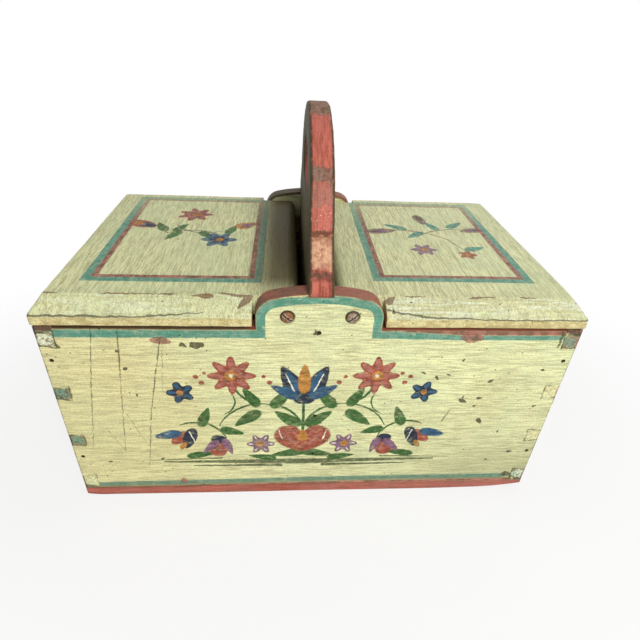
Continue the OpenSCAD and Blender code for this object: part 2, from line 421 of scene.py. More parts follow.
class Shell:
    """Points and faces gathered grid by grid, in millimetres, and made into one object."""

    def __init__(self) -> None:
        """Starts with nothing."""
        self.points: list[np.ndarray] = []
        self.faces: list[list[int]] = []
        self.count = 0

    def _number(self, points: np.ndarray) -> np.ndarray:
        """Adds points and returns their numbers in the same layout.

        Args:
            points: Grid or row of points.

        Returns:
            Their numbers.
        """
        flat = points.reshape(-1, 3)
        self.points.append(flat)
        numbers = self.count + np.arange(len(flat)).reshape(points.shape[:-1])
        self.count += len(flat)
        return numbers

    def add_grid(self, grid: np.ndarray, kept: np.ndarray | None = None) -> None:
        """Adds a grid of four-sided faces.

        Args:
            grid: Rows and columns of points.
            kept: Which cells to make. All, if it is left out.
        """
        number = self._number(grid)
        cells = np.stack([number[:-1, :-1], number[1:, :-1], number[1:, 1:], number[:-1, 1:]], -1)
        self.faces.extend((cells.reshape(-1, 4) if kept is None else cells[kept]).tolist())

    def add_cap(self, ring: np.ndarray) -> None:
        """Closes a flat ring of points with one face."""
        self.faces.append(self._number(ring).tolist())

    def build(self, name: str) -> bpy.types.Object:
        """Merges the seams, turns the faces outwards and links the object.

        Args:
            name: Name of the object and its mesh.

        Returns:
            The new object, at the origin.
        """
        mesh = bpy.data.meshes.new(name)
        mesh.from_pydata((np.concatenate(self.points) * MM).tolist(), [], self.faces)
        shaped = bmesh.new()
        shaped.from_mesh(mesh)
        bmesh.ops.remove_doubles(shaped, verts=shaped.verts, dist=2e-6)
        bmesh.ops.dissolve_degenerate(shaped, edges=shaped.edges, dist=2e-6)
        bmesh.ops.recalc_face_normals(shaped, faces=shaped.faces)
        shaped.to_mesh(mesh)
        shaped.free()
        piece = bpy.data.objects.new(name, mesh)
        bpy.context.scene.collection.objects.link(piece)
        return piece


def plate(upper: np.ndarray, lower: np.ndarray, notch: tuple[int, int, int], rows: int) -> Shell:
    """Closes two height fields over the same grid with a band round their perimeter.

    Args:
        upper: Grid of points on the upper side.
        lower: Grid of points on the lower side.
        notch: Corner cells to leave out, as perimeter() takes them.
        rows: Number of face rows in the band.

    Returns:
        The closed shell.
    """
    full, low, high = notch
    row, column = np.indices((upper.shape[0] - 1, upper.shape[1] - 1))
    kept = (row >= full) | ((column >= low) & (column < high))
    path = perimeter(*upper.shape[:2], notch)
    shell = Shell()
    shell.add_grid(upper, kept)
    shell.add_grid(lower, kept)
    share = np.linspace(0, 1, rows + 1)[:, None, None]
    shell.add_grid(upper[path] * (1 - share) + lower[path] * share)
    return shell


@dataclass
class CarriedBoard:
    """A board as the quarter round of its arrises, carried along its outline.

    Attributes:
        near: Outline on the low face, anticlockwise.
        weight: Share of the rounding on the stretch after each point, 0 in a joint.
        span: Places of the two faces along the board's thickness.
        radius: Radius of the worn arris.
        seed: Picks how the wear varies.
        far: Outline on the high face, if it differs.
        step: The longest stretch of outline.
        rings: Number of rings in a quarter round.
    """

    near: np.ndarray
    weight: np.ndarray
    span: Pair
    radius: float
    seed: int
    far: np.ndarray | None = None
    step: float = 3.0
    rings: int = 5

    def shell(self, place: Callable[[np.ndarray, np.ndarray, np.ndarray], np.ndarray]) -> Shell:
        """Builds the closed board.

        A ring at angle a is inset by r (1 - sin a) at the depth r (1 - cos a) under its face,
        where r is the radius times 0.55 to 1.45, as smooth noise along the outline says.

        Args:
            place: Turns the outline's two coordinates and the depth into points.

        Returns:
            The shell.
        """
        near, weight = refined(self.near, self.weight, self.step)
        far = near if self.far is None else refined(self.far, self.weight, self.step)[0]
        if len(far) != len(near):
            raise ValueError("the two outlines are refined to different counts")
        low, high = self.span
        spot = np.column_stack([near, np.zeros(len(near))])
        grids = []
        for side, face, inward in ((0, low, 1.0), (1, high, -1.0)):
            seed = self.seed + side
            noise = smooth_noise(spot, 9.0, seed) + smooth_noise(spot, 3.1, seed + 5)
            radius = self.radius * (1 + 0.3 * noise)
            for angle in np.linspace(0, math.pi / 2, self.rings):
                depth = radius.mean() * (1 - math.cos(angle))
                share = depth / (high - low) if side == 0 else 1 - depth / (high - low)
                outline = near * (1 - share) + far * share
                moved = inset(outline, radius * (1 - math.sin(angle)), weight)
                grids.append((face + inward * depth, moved))
        grids.sort(key=lambda ring: ring[0])
        rings = np.stack([place(r[:, 0], r[:, 1], np.full(len(r), d)) for d, r in grids])
        shell = Shell()
        shell.add_grid(np.concatenate([rings, rings[:, :1]], 1))
        shell.add_cap(rings[0])
        shell.add_cap(rings[-1])
        return shell


def facing_front(u: np.ndarray, v: np.ndarray, w: np.ndarray) -> np.ndarray:
    """Places an outline drawn in X and Z, with its depth along Y."""
    return np.stack([u, w, v], -1)


def facing_side(u: np.ndarray, v: np.ndarray, w: np.ndarray) -> np.ndarray:
    """Places an outline drawn in Y and Z, with its depth along X."""
    return np.stack([w, u, v], -1)


def lathe(profile: Sequence[Pair], centre: Triple, axis: Triple, sides: int = 40) -> Shell:
    """A turned solid: each radius and height of the profile, carried once round the axis.

    Args:
        profile: Radii and heights, from one end on the axis to the other.
        centre: Where height 0 lies.
        axis: Direction of the heights.
        sides: Number of sides.

    Returns:
        The closed shell.
    """
    angle = np.linspace(0, 2 * math.pi, sides + 1)
    radius, height = np.array(profile).T
    grid = np.stack([
        radius[:, None] * np.cos(angle), radius[:, None] * np.sin(angle),
        np.repeat(height[:, None], sides + 1, 1),
    ], -1)
    turn = np.array(Vector((0, 0, 1)).rotation_difference(Vector(axis)).to_matrix())
    shell = Shell()
    shell.add_grid(grid @ turn.T + np.array(centre))
    return shell


def settle(piece: bpy.types.Object) -> None:
    """Makes the result of a piece's modifiers its own mesh.

    Args:
        piece: The piece, whose modifiers are used up.
    """
    graph = bpy.context.evaluated_depsgraph_get()
    mesh = bpy.data.meshes.new_from_object(piece.evaluated_get(graph))
    piece.modifiers.clear()
    piece.data = mesh


def carve(piece: bpy.types.Object, cutters: Sequence[Shell]) -> None:
    """Cuts solids that stand clear of each other out of a piece, all at once.

    Args:
        piece: The piece.
        cutters: The solids.
    """
    joined = Shell()
    for cutter in cutters:
        joined.faces += [[joined.count + number for number in face] for face in cutter.faces]
        joined.points += cutter.points
        joined.count += cutter.count
    tool = joined.build("cutter")
    cut = piece.modifiers.new("carve", "BOOLEAN")
    cut.operation = "DIFFERENCE"
    cut.solver = "EXACT"
    cut.object = tool
    settle(piece)
    bpy.data.objects.remove(tool)


def dress(piece: bpy.types.Object, node: str, body: str, slot: str, finish: bpy.types.Material) -> None:
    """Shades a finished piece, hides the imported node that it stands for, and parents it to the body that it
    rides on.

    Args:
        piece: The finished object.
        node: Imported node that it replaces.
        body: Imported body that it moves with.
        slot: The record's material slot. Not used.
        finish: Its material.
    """
    piece.data.materials.clear()
    piece.data.materials.append(finish)
    piece.data.shade_smooth()
    piece.data.set_sharp_from_angle(angle=SMOOTH_ANGLE)
    evened = piece.modifiers.new("even_shading", "WEIGHTED_NORMAL")
    evened.keep_sharp = True
    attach(piece, body)
    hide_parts(node)
    LOG.info("%s: %d faces, on %s", piece.name, len(piece.data.polygons), body)


# Shader arithmetic


class Wire:
    """A number that flows through a shader, with the usual arithmetic."""

    def __init__(self, graph: "Graph", socket: bpy.types.NodeSocket) -> None:
        """Keeps the graph and the socket that gives the value."""
        self.graph = graph
        self.socket = socket

    def __add__(self, other: "Number") -> "Wire":
        """The sum."""
        return self.graph.math("ADD", self, other)

    def __sub__(self, other: "Number") -> "Wire":
        """The difference."""
        return self.graph.math("SUBTRACT", self, other)

    def __rsub__(self, other: "Number") -> "Wire":
        """The difference from a plain number."""
        return self.graph.math("SUBTRACT", other, self)

    def __mul__(self, other: "Number") -> "Wire":
        """The product."""
        return self.graph.math("MULTIPLY", self, other)

    def __truediv__(self, other: "Number") -> "Wire":
        """The quotient."""
        return self.graph.math("DIVIDE", self, other)

    __radd__ = __add__
    __rmul__ = __mul__

    def __abs__(self) -> "Wire":
        """The size without the sign."""
        return self.graph.math("ABSOLUTE", self)

    def least(self, other: "Number") -> "Wire":
        """The lower of the two."""
        return self.graph.math("MINIMUM", self, other)

    def most(self, other: "Number") -> "Wire":
        """The higher of the two."""
        return self.graph.math("MAXIMUM", self, other)

    def rise(self, low: float, high: float) -> "Wire":
        """0 below low and 1 above high, with a smooth step between."""
        inputs = {"Value": self, "From Min": low, "From Max": high}
        return self.graph.fetch("MapRange", inputs, interpolation_type="SMOOTHSTEP")

    def fall(self, low: float, high: float) -> "Wire":
        """1 below low and 0 above high, with a smooth step between."""
        return 1.0 - self.rise(low, high)

    def band(self, low: float, high: float, soft: float) -> "Wire":
        """1 between low and high, with edges softened over soft."""
        return self.rise(low - soft / 2, low + soft / 2) * self.fall(high - soft / 2, high + soft / 2)


class Place(Wire):
    """A vector that flows through a shader."""

    def __add__(self, other: "Place | Triple") -> "Place":
        """The sum."""
        return self.graph.fetch("VectorMath", {0: self, 1: other}, operation="ADD")

    def __sub__(self, other: "Place | Triple") -> "Place":
        """The difference."""
        return self.graph.fetch("VectorMath", {0: self, 1: other}, operation="SUBTRACT")

    def __mul__(self, other: "Number | Place | Triple") -> "Place":
        """The vector scaled as a whole by a number, or axis by axis by another vector."""
        if isinstance(other, (Place, tuple)):
            return self.graph.fetch("VectorMath", {0: self, 1: other}, operation="MULTIPLY")
        return self.graph.fetch("VectorMath", {0: self, "Scale": other}, operation="SCALE")

    def parts(self, axes: str = "xyz") -> tuple[Wire, ...]:
        """Its numbers along the named axes."""
        return tuple(self.dot(tuple(float(axis == name) for name in "xyz")) for axis in axes)

    def length(self) -> Wire:
        """Its length."""
        return self.graph.fetch("VectorMath", {0: self}, "Value", operation="LENGTH")

    def dot(self, other: "Place | Triple") -> Wire:
        """Its product with another, along that one's direction."""
        return self.graph.fetch("VectorMath", {0: self, 1: other}, "Value", operation="DOT_PRODUCT")


class Tint(Wire):
    """A colour that flows through a shader."""


Number = Wire | float
Paint = Tint | Pigment | Colour
SOCKETS = {Wire: "NodeSocketFloat", Place: "NodeSocketVector", Tint: "NodeSocketColor"}


class Graph:
    """Adds and joins the nodes of one shader tree."""

    def __init__(self, tree: bpy.types.NodeTree) -> None:
        """Keeps the tree."""
        self.tree = tree

    def wire(self, socket: bpy.types.NodeSocket) -> Wire:
        """Wraps a socket by its kind."""
        return {"VECTOR": Place, "RGBA": Tint}.get(socket.type, Wire)(self, socket)

    def feed(self, node: bpy.types.Node, inputs: dict) -> bpy.types.Node:
        """Joins wires to a node's sockets, by name or number, or sets plain values on them.

        Args:
            node: The node.
            inputs: Wires, numbers, tuples or pigments, by the socket's name or number.

        Returns:
            The node.
        """
        for key, value in inputs.items():
            if isinstance(value, Wire):
                self.tree.links.new(value.socket, node.inputs[key])
            else:
                node.inputs[key].default_value = value.value if isinstance(value, Enum) else value
        return node

    def node(self, kind: str, inputs: dict | None = None, **settings: object) -> bpy.types.Node:
        """Adds a node of a kind, named without the ShaderNode prefix, with its inputs and settings.

        Args:
            kind: Name of its type without the ShaderNode prefix.
            inputs: What feed() takes.
            settings: Values of the node's own properties.

        Returns:
            The node.
        """
        made = self.tree.nodes.new("ShaderNode" + kind)
        for name, value in settings.items():
            setattr(made, name, value)
        return self.feed(made, inputs or {})

    def fetch(self, kind: str, inputs: dict, output: int | str = 0, **settings: object) -> Wire:
        """Adds a node and returns one of its outputs."""
        return self.wire(self.node(kind, inputs, **settings).outputs[output])

    def math(self, operation: str, *values: Number) -> Wire:
        """One arithmetic step."""
        return self.fetch("Math", dict(enumerate(values)), operation=operation)

    def join(self, x: Number, y: Number, z: Number = 0.0) -> Place:
        """A vector from its parts."""
        return self.fetch("CombineXYZ", {0: x, 1: y, 2: z})

    def noise(self, place: Place, size: float, detail: float = 3.0, rough: float = 0.6) -> Wire:
        """Smooth noise from 0 to 1 whose largest features are about size across."""
        inputs = {"Vector": place, "Scale": 1.0 / size, "Detail": detail, "Roughness": rough}
        return self.fetch("TexNoise", inputs)

    def blend(self, share: Number, under: Paint, over: Paint) -> Tint:
        """A colour between two others."""
        return self.fetch("Mix", {0: share, 6: under, 7: over}, 2, data_type="RGBA")

    def shade(self, colour: Paint, by: Number) -> Tint:
        """A colour made darker or lighter by a factor."""
        plain = colour.value[:3] if isinstance(colour, Pigment) else colour
        return Tint(self, self.fetch("VectorMath", {0: plain, "Scale": by}, operation="SCALE").socket)

    def mottle(self, place: Place, size: float, first: Paint, second: Paint) -> Tint:
        """A colour that wavers between two others in patches of a size."""
        return self.blend(self.noise(place, size, 4.0, 0.66).rise(0.42, 0.6), first, second)


def effect(draw: Callable[..., dict[str, Wire]]) -> Callable[..., Wire | list[Wire]]:
    """Turns a function that adds nodes into a shader group, built once and placed at each call.

    Args:
        draw: Its parameters after the graph become the group's inputs, of the kinds that their
            annotations name, and the entries of its result become the outputs.

    Returns:
        A function that places the group in a graph and returns its output or outputs.
    """
    def built() -> bpy.types.NodeTree:
        """Makes the group.

        Returns:
            The group's tree.
        """
        tree = bpy.data.node_groups.new(draw.__name__, "ShaderNodeTree")
        graph = Graph(tree)
        kinds = {n: p.annotation for n, p in list(inspect.signature(draw).parameters.items())[1:]}
        for name, kind in kinds.items():
            tree.interface.new_socket(name, in_out="INPUT", socket_type=SOCKETS[kind])
        source, target = tree.nodes.new("NodeGroupInput"), tree.nodes.new("NodeGroupOutput")
        made = draw(graph, **{name: graph.wire(source.outputs[name]) for name in kinds})
        for name, wire in made.items():
            tree.interface.new_socket(name, in_out="OUTPUT", socket_type=SOCKETS[type(wire)])
            tree.links.new(wire.socket, target.inputs[name])
        return tree

    def placed(graph: Graph, **given: object) -> Wire | list[Wire]:
        """Places the group with its inputs.

        Args:
            graph: The nodes to add to.
            given: Values of the group's inputs.

        Returns:
            Its output, or a list of them if there are several.
        """
        made = graph.tree.nodes.new("ShaderNodeGroup")
        made.node_tree = bpy.data.node_groups.get(draw.__name__) or built()
        outputs = [graph.wire(output) for output in graph.feed(made, given).outputs]
        return outputs if len(outputs) > 1 else outputs[0]

    return placed


def second_least(values: Sequence[Wire]) -> Wire:
    """The second lowest of several distances: on a surface, how near its next arris is.

    Args:
        values: The distances.

    Returns:
        The second lowest.
    """
    lowest, second = values[0].least(values[1]), values[0].most(values[1])
    for value in values[2:]:
        second = second.least(lowest.most(value))
        lowest = lowest.least(value)
    return second


# Shared effects of age and of the brush


@effect
def brush_streaks(graph: Graph, place: Place, stretch: Place) -> dict[str, Wire]:
    """Streaks of a brush: two layers of noise drawn out along the strokes, and dirt lines.

    Args:
        graph: The group's nodes.
        place: Place, in millimetres.
        stretch: How far each axis is squeezed before the noise is read.

    Returns:
        The tone of the streaks, and the thin lines of dirt between them.
    """
    drawn = place * stretch
    tone = graph.noise(drawn, 2.2, 2.0) * 0.3 + graph.noise(drawn, 0.6, 3.0, 0.65) * 0.7
    line = graph.noise(drawn, 0.42, 1.0, 0.5).rise(0.62, 0.71)
    return {"tone": tone, "line": line * graph.noise(place, 17.0).rise(0.38, 0.58)}


@effect
def paint_chips(graph: Graph, place: Place, arris: Wire, reach: Wire, amount: Wire) -> dict[str, Wire]:
    """Where paint is gone: noise over a level that is easier to pass near an arris.

    Args:
        graph: The group's nodes.
        place: Place, in millimetres.
        arris: Distance to the next arris.
        reach: Distance at which the arris loses its effect.
        amount: How readily the paint goes.

    Returns:
        The bare places, and the dark rims round them.
    """
    near = graph.math("EXPONENT", arris / reach * -1.0)
    level = graph.noise(place, 4.0, 6.0, 0.68) * 0.72 + graph.noise(place, 26.0) * 0.4
    level = level + near * 0.3 + amount
    mask = level.rise(1.0, 1.02)
    return {"mask": mask, "rim": level.rise(0.95, 1.0) * (1.0 - mask)}


@effect
def nicks(graph: Graph, place: Place, size: Wire, spread: Wire, share: Wire) -> dict[str, Wire]:
    """Small dark nicks: ragged spots of random size in some of the cells.

    Args:
        graph: The group's nodes.
        place: Place, in millimetres.
        size: Radius of the largest nick.
        spread: Distance between cells.
        share: Share of the cells that hold a nick.

    Returns:
        The nicks.
    """
    ragged = graph.noise(place * (1.0, 1.0, 1.6), 1.0, 4.0, 0.7) - 0.5
    cells = graph.node("TexVoronoi", {"Vector": place * graph.math("DIVIDE", 1.0, spread), "Scale": 1.0})
    away = graph.wire(cells.outputs["Distance"]) * spread + ragged * size * 2.4
    chance, random = Place(graph, cells.outputs["Color"]).parts("xy")
    reach = (random * random * 0.8 + 0.2) * size
    return {"mask": (away - reach).fall(-0.08, 0.12) * graph.math("LESS_THAN", chance, share)}


@effect
def wood_grain(graph: Graph, place: Place, dark: Tint, middle: Tint, light: Tint) -> dict[str, Wire]:
    """Bare aged wood: bands and fibres that run along the first axis.

    Args:
        graph: The group's nodes.
        place: Place with the grain along its first axis, in millimetres.
        dark: Colour of the late wood.
        middle: Colour between.
        light: Colour of the raised fibres.

    Returns:
        The colour, and the height of the fibres.
    """
    band = graph.noise(place * (0.045, 1.0, 1.0), 3.4, 4.0)
    fibre = graph.noise(place * (0.03, 1.0, 1.0), 0.5, 4.0, 0.7)
    colour = graph.blend(band.rise(0.36, 0.64), dark, middle)
    colour = graph.blend(fibre.rise(0.5, 0.72) * 0.6, colour, light)
    colour = graph.blend(fibre.fall(0.3, 0.42) * 0.5, colour, dark)
    return {"colour": colour, "height": fibre * 0.6 + band * 0.4}


@effect
def grime(graph: Graph, place: Place, arris: Wire, reach: Wire) -> dict[str, Wire]:
    """Dirt that gathers along arrises and in clouds.

    Args:
        graph: The group's nodes.
        place: Place, in millimetres.
        arris: Distance to the next arris.
        reach: Distance at which the arris loses its effect.

    Returns:
        The dirt.
    """
    margin = graph.math("EXPONENT", arris / reach * -1.0)
    fleck = graph.noise(place, 2.6, 5.0, 0.72).rise(0.46, 0.72)
    cloud = graph.noise(place, 32.0, 4.0).rise(0.42, 0.7)
    return {"mask": margin * (fleck * 0.7 + 0.3) + cloud * (fleck * 0.8 + 0.2) * 0.6}


# Shared strokes of the painter


@effect
def painted_petal(
    graph: Graph, place: Place, centre: Place, angle: Wire, length: Wire, width: Wire, taper: Wire,
) -> dict[str, Wire]:
    """One stroke of a round brush: an ellipse that narrows towards one tip.

    Args:
        graph: The group's nodes.
        place: Flat coordinates.
        centre: Middle of the stroke.
        angle: Its direction, in radians.
        length: Half its length.
        width: Half its width.
        taper: How much it narrows along its direction.

    Returns:
        The stroke.
    """
    inputs = {"Vector": place - centre, "Angle": angle * -1.0}
    along, across = graph.fetch("VectorRotate", inputs, rotation_type="Z_AXIS").parts("xy")
    along = along / length
    away = graph.join(along, across / (width * (1.0 - along * taper).most(0.05))).length()
    return {"mask": away.fall(0.93, 1.07)}


@effect
def painted_stroke(
    graph: Graph, place: Place, start: Place, end: Place, first: Wire, last: Wire,
) -> dict[str, Wire]:
    """A straight stroke or crack whose width changes evenly.

    Args:
        graph: The group's nodes.
        place: Flat coordinates.
        start: Its start.
        end: Its end.
        first: Half its width at the start.
        last: Half its width at the end.

    Returns:
        The stroke.
    """
    run, across = end - start, place - start
    share = (across.dot(run) / run.dot(run)).most(0.0).least(1.0)
    half = first * (1.0 - share) + last * share
    return {"mask": ((across - run * share).length() / half).fall(0.75, 1.3)}


@effect
def painted_arc(
    graph: Graph, place: Place, centre: Place, toward: Place, limit: Wire, radius: Wire, width: Wire,
) -> dict[str, Wire]:
    """A curved stroke: part of a ring, on one side of its centre.

    Args:
        graph: The group's nodes.
        place: Flat coordinates.
        centre: Centre of the ring.
        toward: Direction of the part's middle.
        limit: Cosine of half the angle that the part spans.
        radius: Radius of the ring.
        width: Half its width.

    Returns:
        The stroke.
    """
    across = place - centre
    away = across.length()
    share = across.dot(toward) / away.most(0.01) - limit
    half = width * (0.45 + share.rise(0.0, 0.25) * 0.55)
    return {"mask": (abs(away - radius) / half).fall(0.8, 1.25) * graph.math("GREATER_THAN", share, 0.0)}


@effect
def painted_rosette(graph: Graph, place: Place, centre: Place, radius: Wire, petals: Wire) -> dict[str, Wire]:
    """A round flower whose edge swings in and out once for each petal.

    Args:
        graph: The group's nodes.
        place: Flat coordinates.
        centre: Centre of the flower.
        radius: Its largest radius.
        petals: Number of petals.

    Returns:
        The flower, where the distance is under radius (0.8 + 0.2 cos(petals angle)).
    """
    x, y = (place - centre).parts("xy")
    swing = graph.math("COSINE", graph.math("ARCTAN2", y, x) * petals)
    return {"mask": (graph.join(x, y).length() - radius * (0.8 + swing * 0.2)).fall(-0.25, 0.25)}


@dataclass(frozen=True)
class Petal:
    """A leaf, petal or spot: its middle, direction in degrees, half length, half width and taper."""

    x: float
    y: float
    angle: float
    length: float
    width: float
    taper: float = 0.45

    def draw(self, graph: Graph, flat: Place) -> Wire:
        """Returns its mask on the flat coordinates."""
        size = {"length": self.length, "width": self.width, "taper": self.taper}
        centre, angle = (self.x, self.y, 0.0), math.radians(self.angle)
        return painted_petal(graph, place=flat, centre=centre, angle=angle, **size)


@dataclass(frozen=True)
class Stroke:
    """A straight stroke or crack between two points, with its half widths."""

    start: Pair
    end: Pair
    first: float = 0.5
    last: float = 0.3

    def draw(self, graph: Graph, flat: Place) -> Wire:
        """Returns its mask on the flat coordinates."""
        ends = {"start": (*self.start, 0.0), "end": (*self.end, 0.0)}
        return painted_stroke(graph, place=flat, first=self.first, last=self.last, **ends)


@dataclass(frozen=True)
class Curl:
    """A curved stroke round a centre, from one angle to another in degrees."""

    centre: Pair
    radius: float
    first: float
    last: float
    width: float = 0.6

    def draw(self, graph: Graph, flat: Place) -> Wire:
        """Its mask.

        Args:
            graph: The nodes to add to.
            flat: Flat coordinates.

        Returns:
            The mask, from 0 to 1.
        """
        middle, spread = ((math.radians(self.last + sign * self.first) / 2) for sign in (1, -1))
        toward = (math.cos(middle), math.sin(middle), 0.0)
        size = {"limit": math.cos(spread), "radius": self.radius, "width": self.width}
        return painted_arc(graph, place=flat, centre=(*self.centre, 0.0), toward=toward, **size)


@dataclass(frozen=True)
class Rosette:
    """A round flower: its centre, radius and number of petals."""

    x: float
    y: float
    radius: float
    petals: float = 1.0

    def draw(self, graph: Graph, flat: Place) -> Wire:
        """Returns its mask on the flat coordinates."""
        centre = (self.x, self.y, 0.0)
        return painted_rosette(graph, place=flat, centre=centre, radius=self.radius, petals=self.petals)


Motif = Petal | Stroke | Curl | Rosette
Layer = tuple[Pigment, tuple[Motif, ...]]


def mask_of(graph: Graph, flat: Place, motifs: Sequence[Motif]) -> Wire:
    """The area that any of several motifs covers.

    Args:
        graph: The nodes to add to.
        flat: Flat coordinates.
        motifs: The motifs.

    Returns:
        The mask, from 0 to 1.
    """
    mask = motifs[0].draw(graph, flat)
    for motif in motifs[1:]:
        mask = mask.most(motif.draw(graph, flat))
    return mask


def fan(x: float, y: float, reach: float, count: int, size: Pair) -> tuple[Petal, ...]:
    """Petals of a half length and half width, set evenly round a point at a distance."""
    turns = [(360.0 * index / count, math.tau * index / count) for index in range(count)]
    return tuple(Petal(x + reach * math.cos(a), y + reach * math.sin(a), d, *size, -0.3) for d, a in turns)


# The ornament on the front, as its right half, and on the two lids

FRONT_SPRAY: tuple[Layer, ...] = (
    (Pigment.MOSS, (
        Stroke((0.0, -41.0), (88.0, -40.0), 2.4, 0.6), Stroke((14.0, -44.5), (70.0, -44.0), 1.3, 0.4),
        Stroke((52.0, -37.0), (98.0, -38.5), 0.7, 0.2),
    )),
    (Pigment.LEAF, (
        Stroke((0.0, -16.0), (0.0, 14.0), 0.9, 0.8), Curl((24.0, -14.0), 24.0, 90.0, 180.0, 0.8),
        Curl((24.0, 27.0), 17.0, 270.0, 352.0, 0.8), Curl((25.0, -18.0), 28.0, 20.0, 90.0, 0.75),
        Curl((66.0, -24.0), 19.0, 60.0, 165.0, 0.7), Curl((52.0, 12.0), 11.0, 150.0, 250.0, 0.5),
        Petal(9.5, -2.5, 38.0, 10.0, 3.8), Petal(13.5, 14.0, 128.0, 9.5, 3.6),
        Petal(31.5, 15.0, 60.0, 8.5, 3.3), Petal(34.0, -2.0, -38.0, 10.0, 3.8),
        Petal(44.0, -13.0, 196.0, 7.5, 3.0), Petal(60.0, -1.0, 110.0, 8.5, 3.2),
        Petal(8.5, -33.0, -10.0, 12.0, 3.2), Petal(25.5, -36.5, 8.0, 9.0, 2.4),
        Petal(64.0, -33.5, 170.0, 10.0, 2.6),
    )),
    (Pigment.MOSS, (
        Stroke((4.0, -5.5), (15.0, 2.5), 0.5, 0.25), Stroke((28.0, 3.0), (39.5, -6.0), 0.5, 0.25),
        Stroke((1.0, -32.0), (17.0, -34.5), 0.5, 0.25), Stroke((62.0, -7.0), (58.0, 4.0), 0.45, 0.25),
    )),
    (Pigment.BRICK, (
        Petal(6.4, -20.5, 52.0, 13.0, 8.4, -0.35), Rosette(42.0, 31.5, 14.0, 8.0),
        Petal(52.5, -26.0, -78.0, 9.5, 5.6, -0.3), Petal(76.0, -18.5, -40.0, 7.5, 4.2, 0.2),
    )),
    (Pigment.ROSE, (
        Stroke((4.5, -24.0), (11.5, -15.5), 1.4, 0.7), Stroke((3.0, -17.5), (7.0, -12.0), 0.9, 0.5),
        *fan(42.0, 31.5, 8.0, 8, (4.0, 1.4)), Stroke((51.0, -31.0), (53.0, -22.0), 0.9, 0.5),
    )),
    (Pigment.NAVY, (
        Petal(7.0, 25.5, 64.0, 14.5, 6.0), Petal(0.0, 14.5, 90.0, 5.0, 6.4, 0.2),
        Rosette(72.0, 19.0, 8.5, 5.0), Petal(70.5, -19.0, -70.0, 9.5, 4.0, 0.2),
        Petal(52.5, -20.0, -80.0, 3.8, 5.0, 0.0),
    )),
    (Pigment.BLUE, (
        Petal(11.5, 19.5, 30.0, 9.5, 3.6), Petal(6.8, 27.5, 66.0, 8.5, 2.4),
        Petal(83.0, -15.5, -12.0, 8.5, 3.4, 0.2), *fan(72.0, 19.0, 5.0, 5, (2.6, 1.2)),
    )),
    (Pigment.MAUVE, (
        Rosette(26.5, -24.5, 9.0, 6.0), Petal(58.0, -26.5, -48.0, 7.5, 2.6),
        Petal(47.0, -26.5, -108.0, 7.5, 2.6),
    )),
    (Pigment.OCHRE, (
        Petal(0.0, 29.0, 90.0, 11.0, 3.6, 0.3), Rosette(42.0, 31.5, 4.2), Rosette(26.5, -24.5, 3.0),
        Rosette(72.0, 19.0, 2.4), Petal(0.0, -17.0, 90.0, 5.0, 3.2, 0.5),
        Petal(75.0, -25.5, -62.0, 3.4, 1.8, 0.0),
    )),
    (Pigment.WHITE, (
        Stroke((6.0, 20.0), (11.0, 33.0), 0.5, 0.25), Stroke((13.0, -20.0), (15.0, -12.0), 0.5, 0.25),
        Stroke((70.0, -13.0), (67.0, -24.0), 0.4, 0.25), Rosette(42.0, 31.5, 1.6),
        *fan(26.5, -24.5, 6.0, 6, (1.6, 0.5)),
    )),
    (Pigment.BRICK, (
        Rosette(59.0, 26.5, 2.0), Rosette(62.0, 31.0, 1.8), Rosette(57.0, 33.5, 1.5),
        Rosette(20.0, 26.5, 1.9), Rosette(23.5, 31.0, 1.6),
    )),
)

LEFT_SPRIG: tuple[Layer, ...] = (
    (Pigment.TWIG, (
        Curl((0.0, -26.0), 30.0, 50.0, 128.0), Curl((8.0, 22.0), 22.0, 200.0, 300.0),
        Stroke((-16.0, -1.0), (-30.0, 10.0)),
    )),
    (Pigment.LEAF, (
        Petal(-22.0, 9.0, 118.0, 8.5, 3.2), Petal(-9.0, 8.5, 62.0, 8.0, 3.0),
        Petal(10.0, -4.0, -52.0, 8.0, 3.0), Petal(-12.0, -5.0, -118.0, 8.5, 3.2),
        Petal(26.0, 6.5, 70.0, 8.0, 3.0),
    )),
    (Pigment.BRICK, (Rosette(-3.0, 34.0, 13.0, 7.0), Petal(-36.0, 13.5, 158.0, 11.0, 6.0, -0.2))),
    (Pigment.BLUE, (Rosette(19.0, -11.0, 12.0, 6.0), Petal(-33.5, 12.5, 158.0, 7.0, 3.4, -0.2))),
    (Pigment.NAVY, (Rosette(19.0, -11.0, 6.4, 6.0), Petal(-30.5, 11.0, 158.0, 4.0, 2.6))),
    (Pigment.OCHRE, (
        Petal(-40.0, 15.0, 158.0, 6.5, 2.8, -0.3), Rosette(19.0, -11.0, 3.2), Rosette(-3.0, 34.0, 4.0),
        Petal(36.0, 15.0, 36.0, 8.5, 5.0),
    )),
    (Pigment.MAUVE, (Petal(37.0, 15.5, 36.0, 5.5, 2.6), *fan(-3.0, 34.0, 7.5, 7, (3.0, 1.0)))),
)

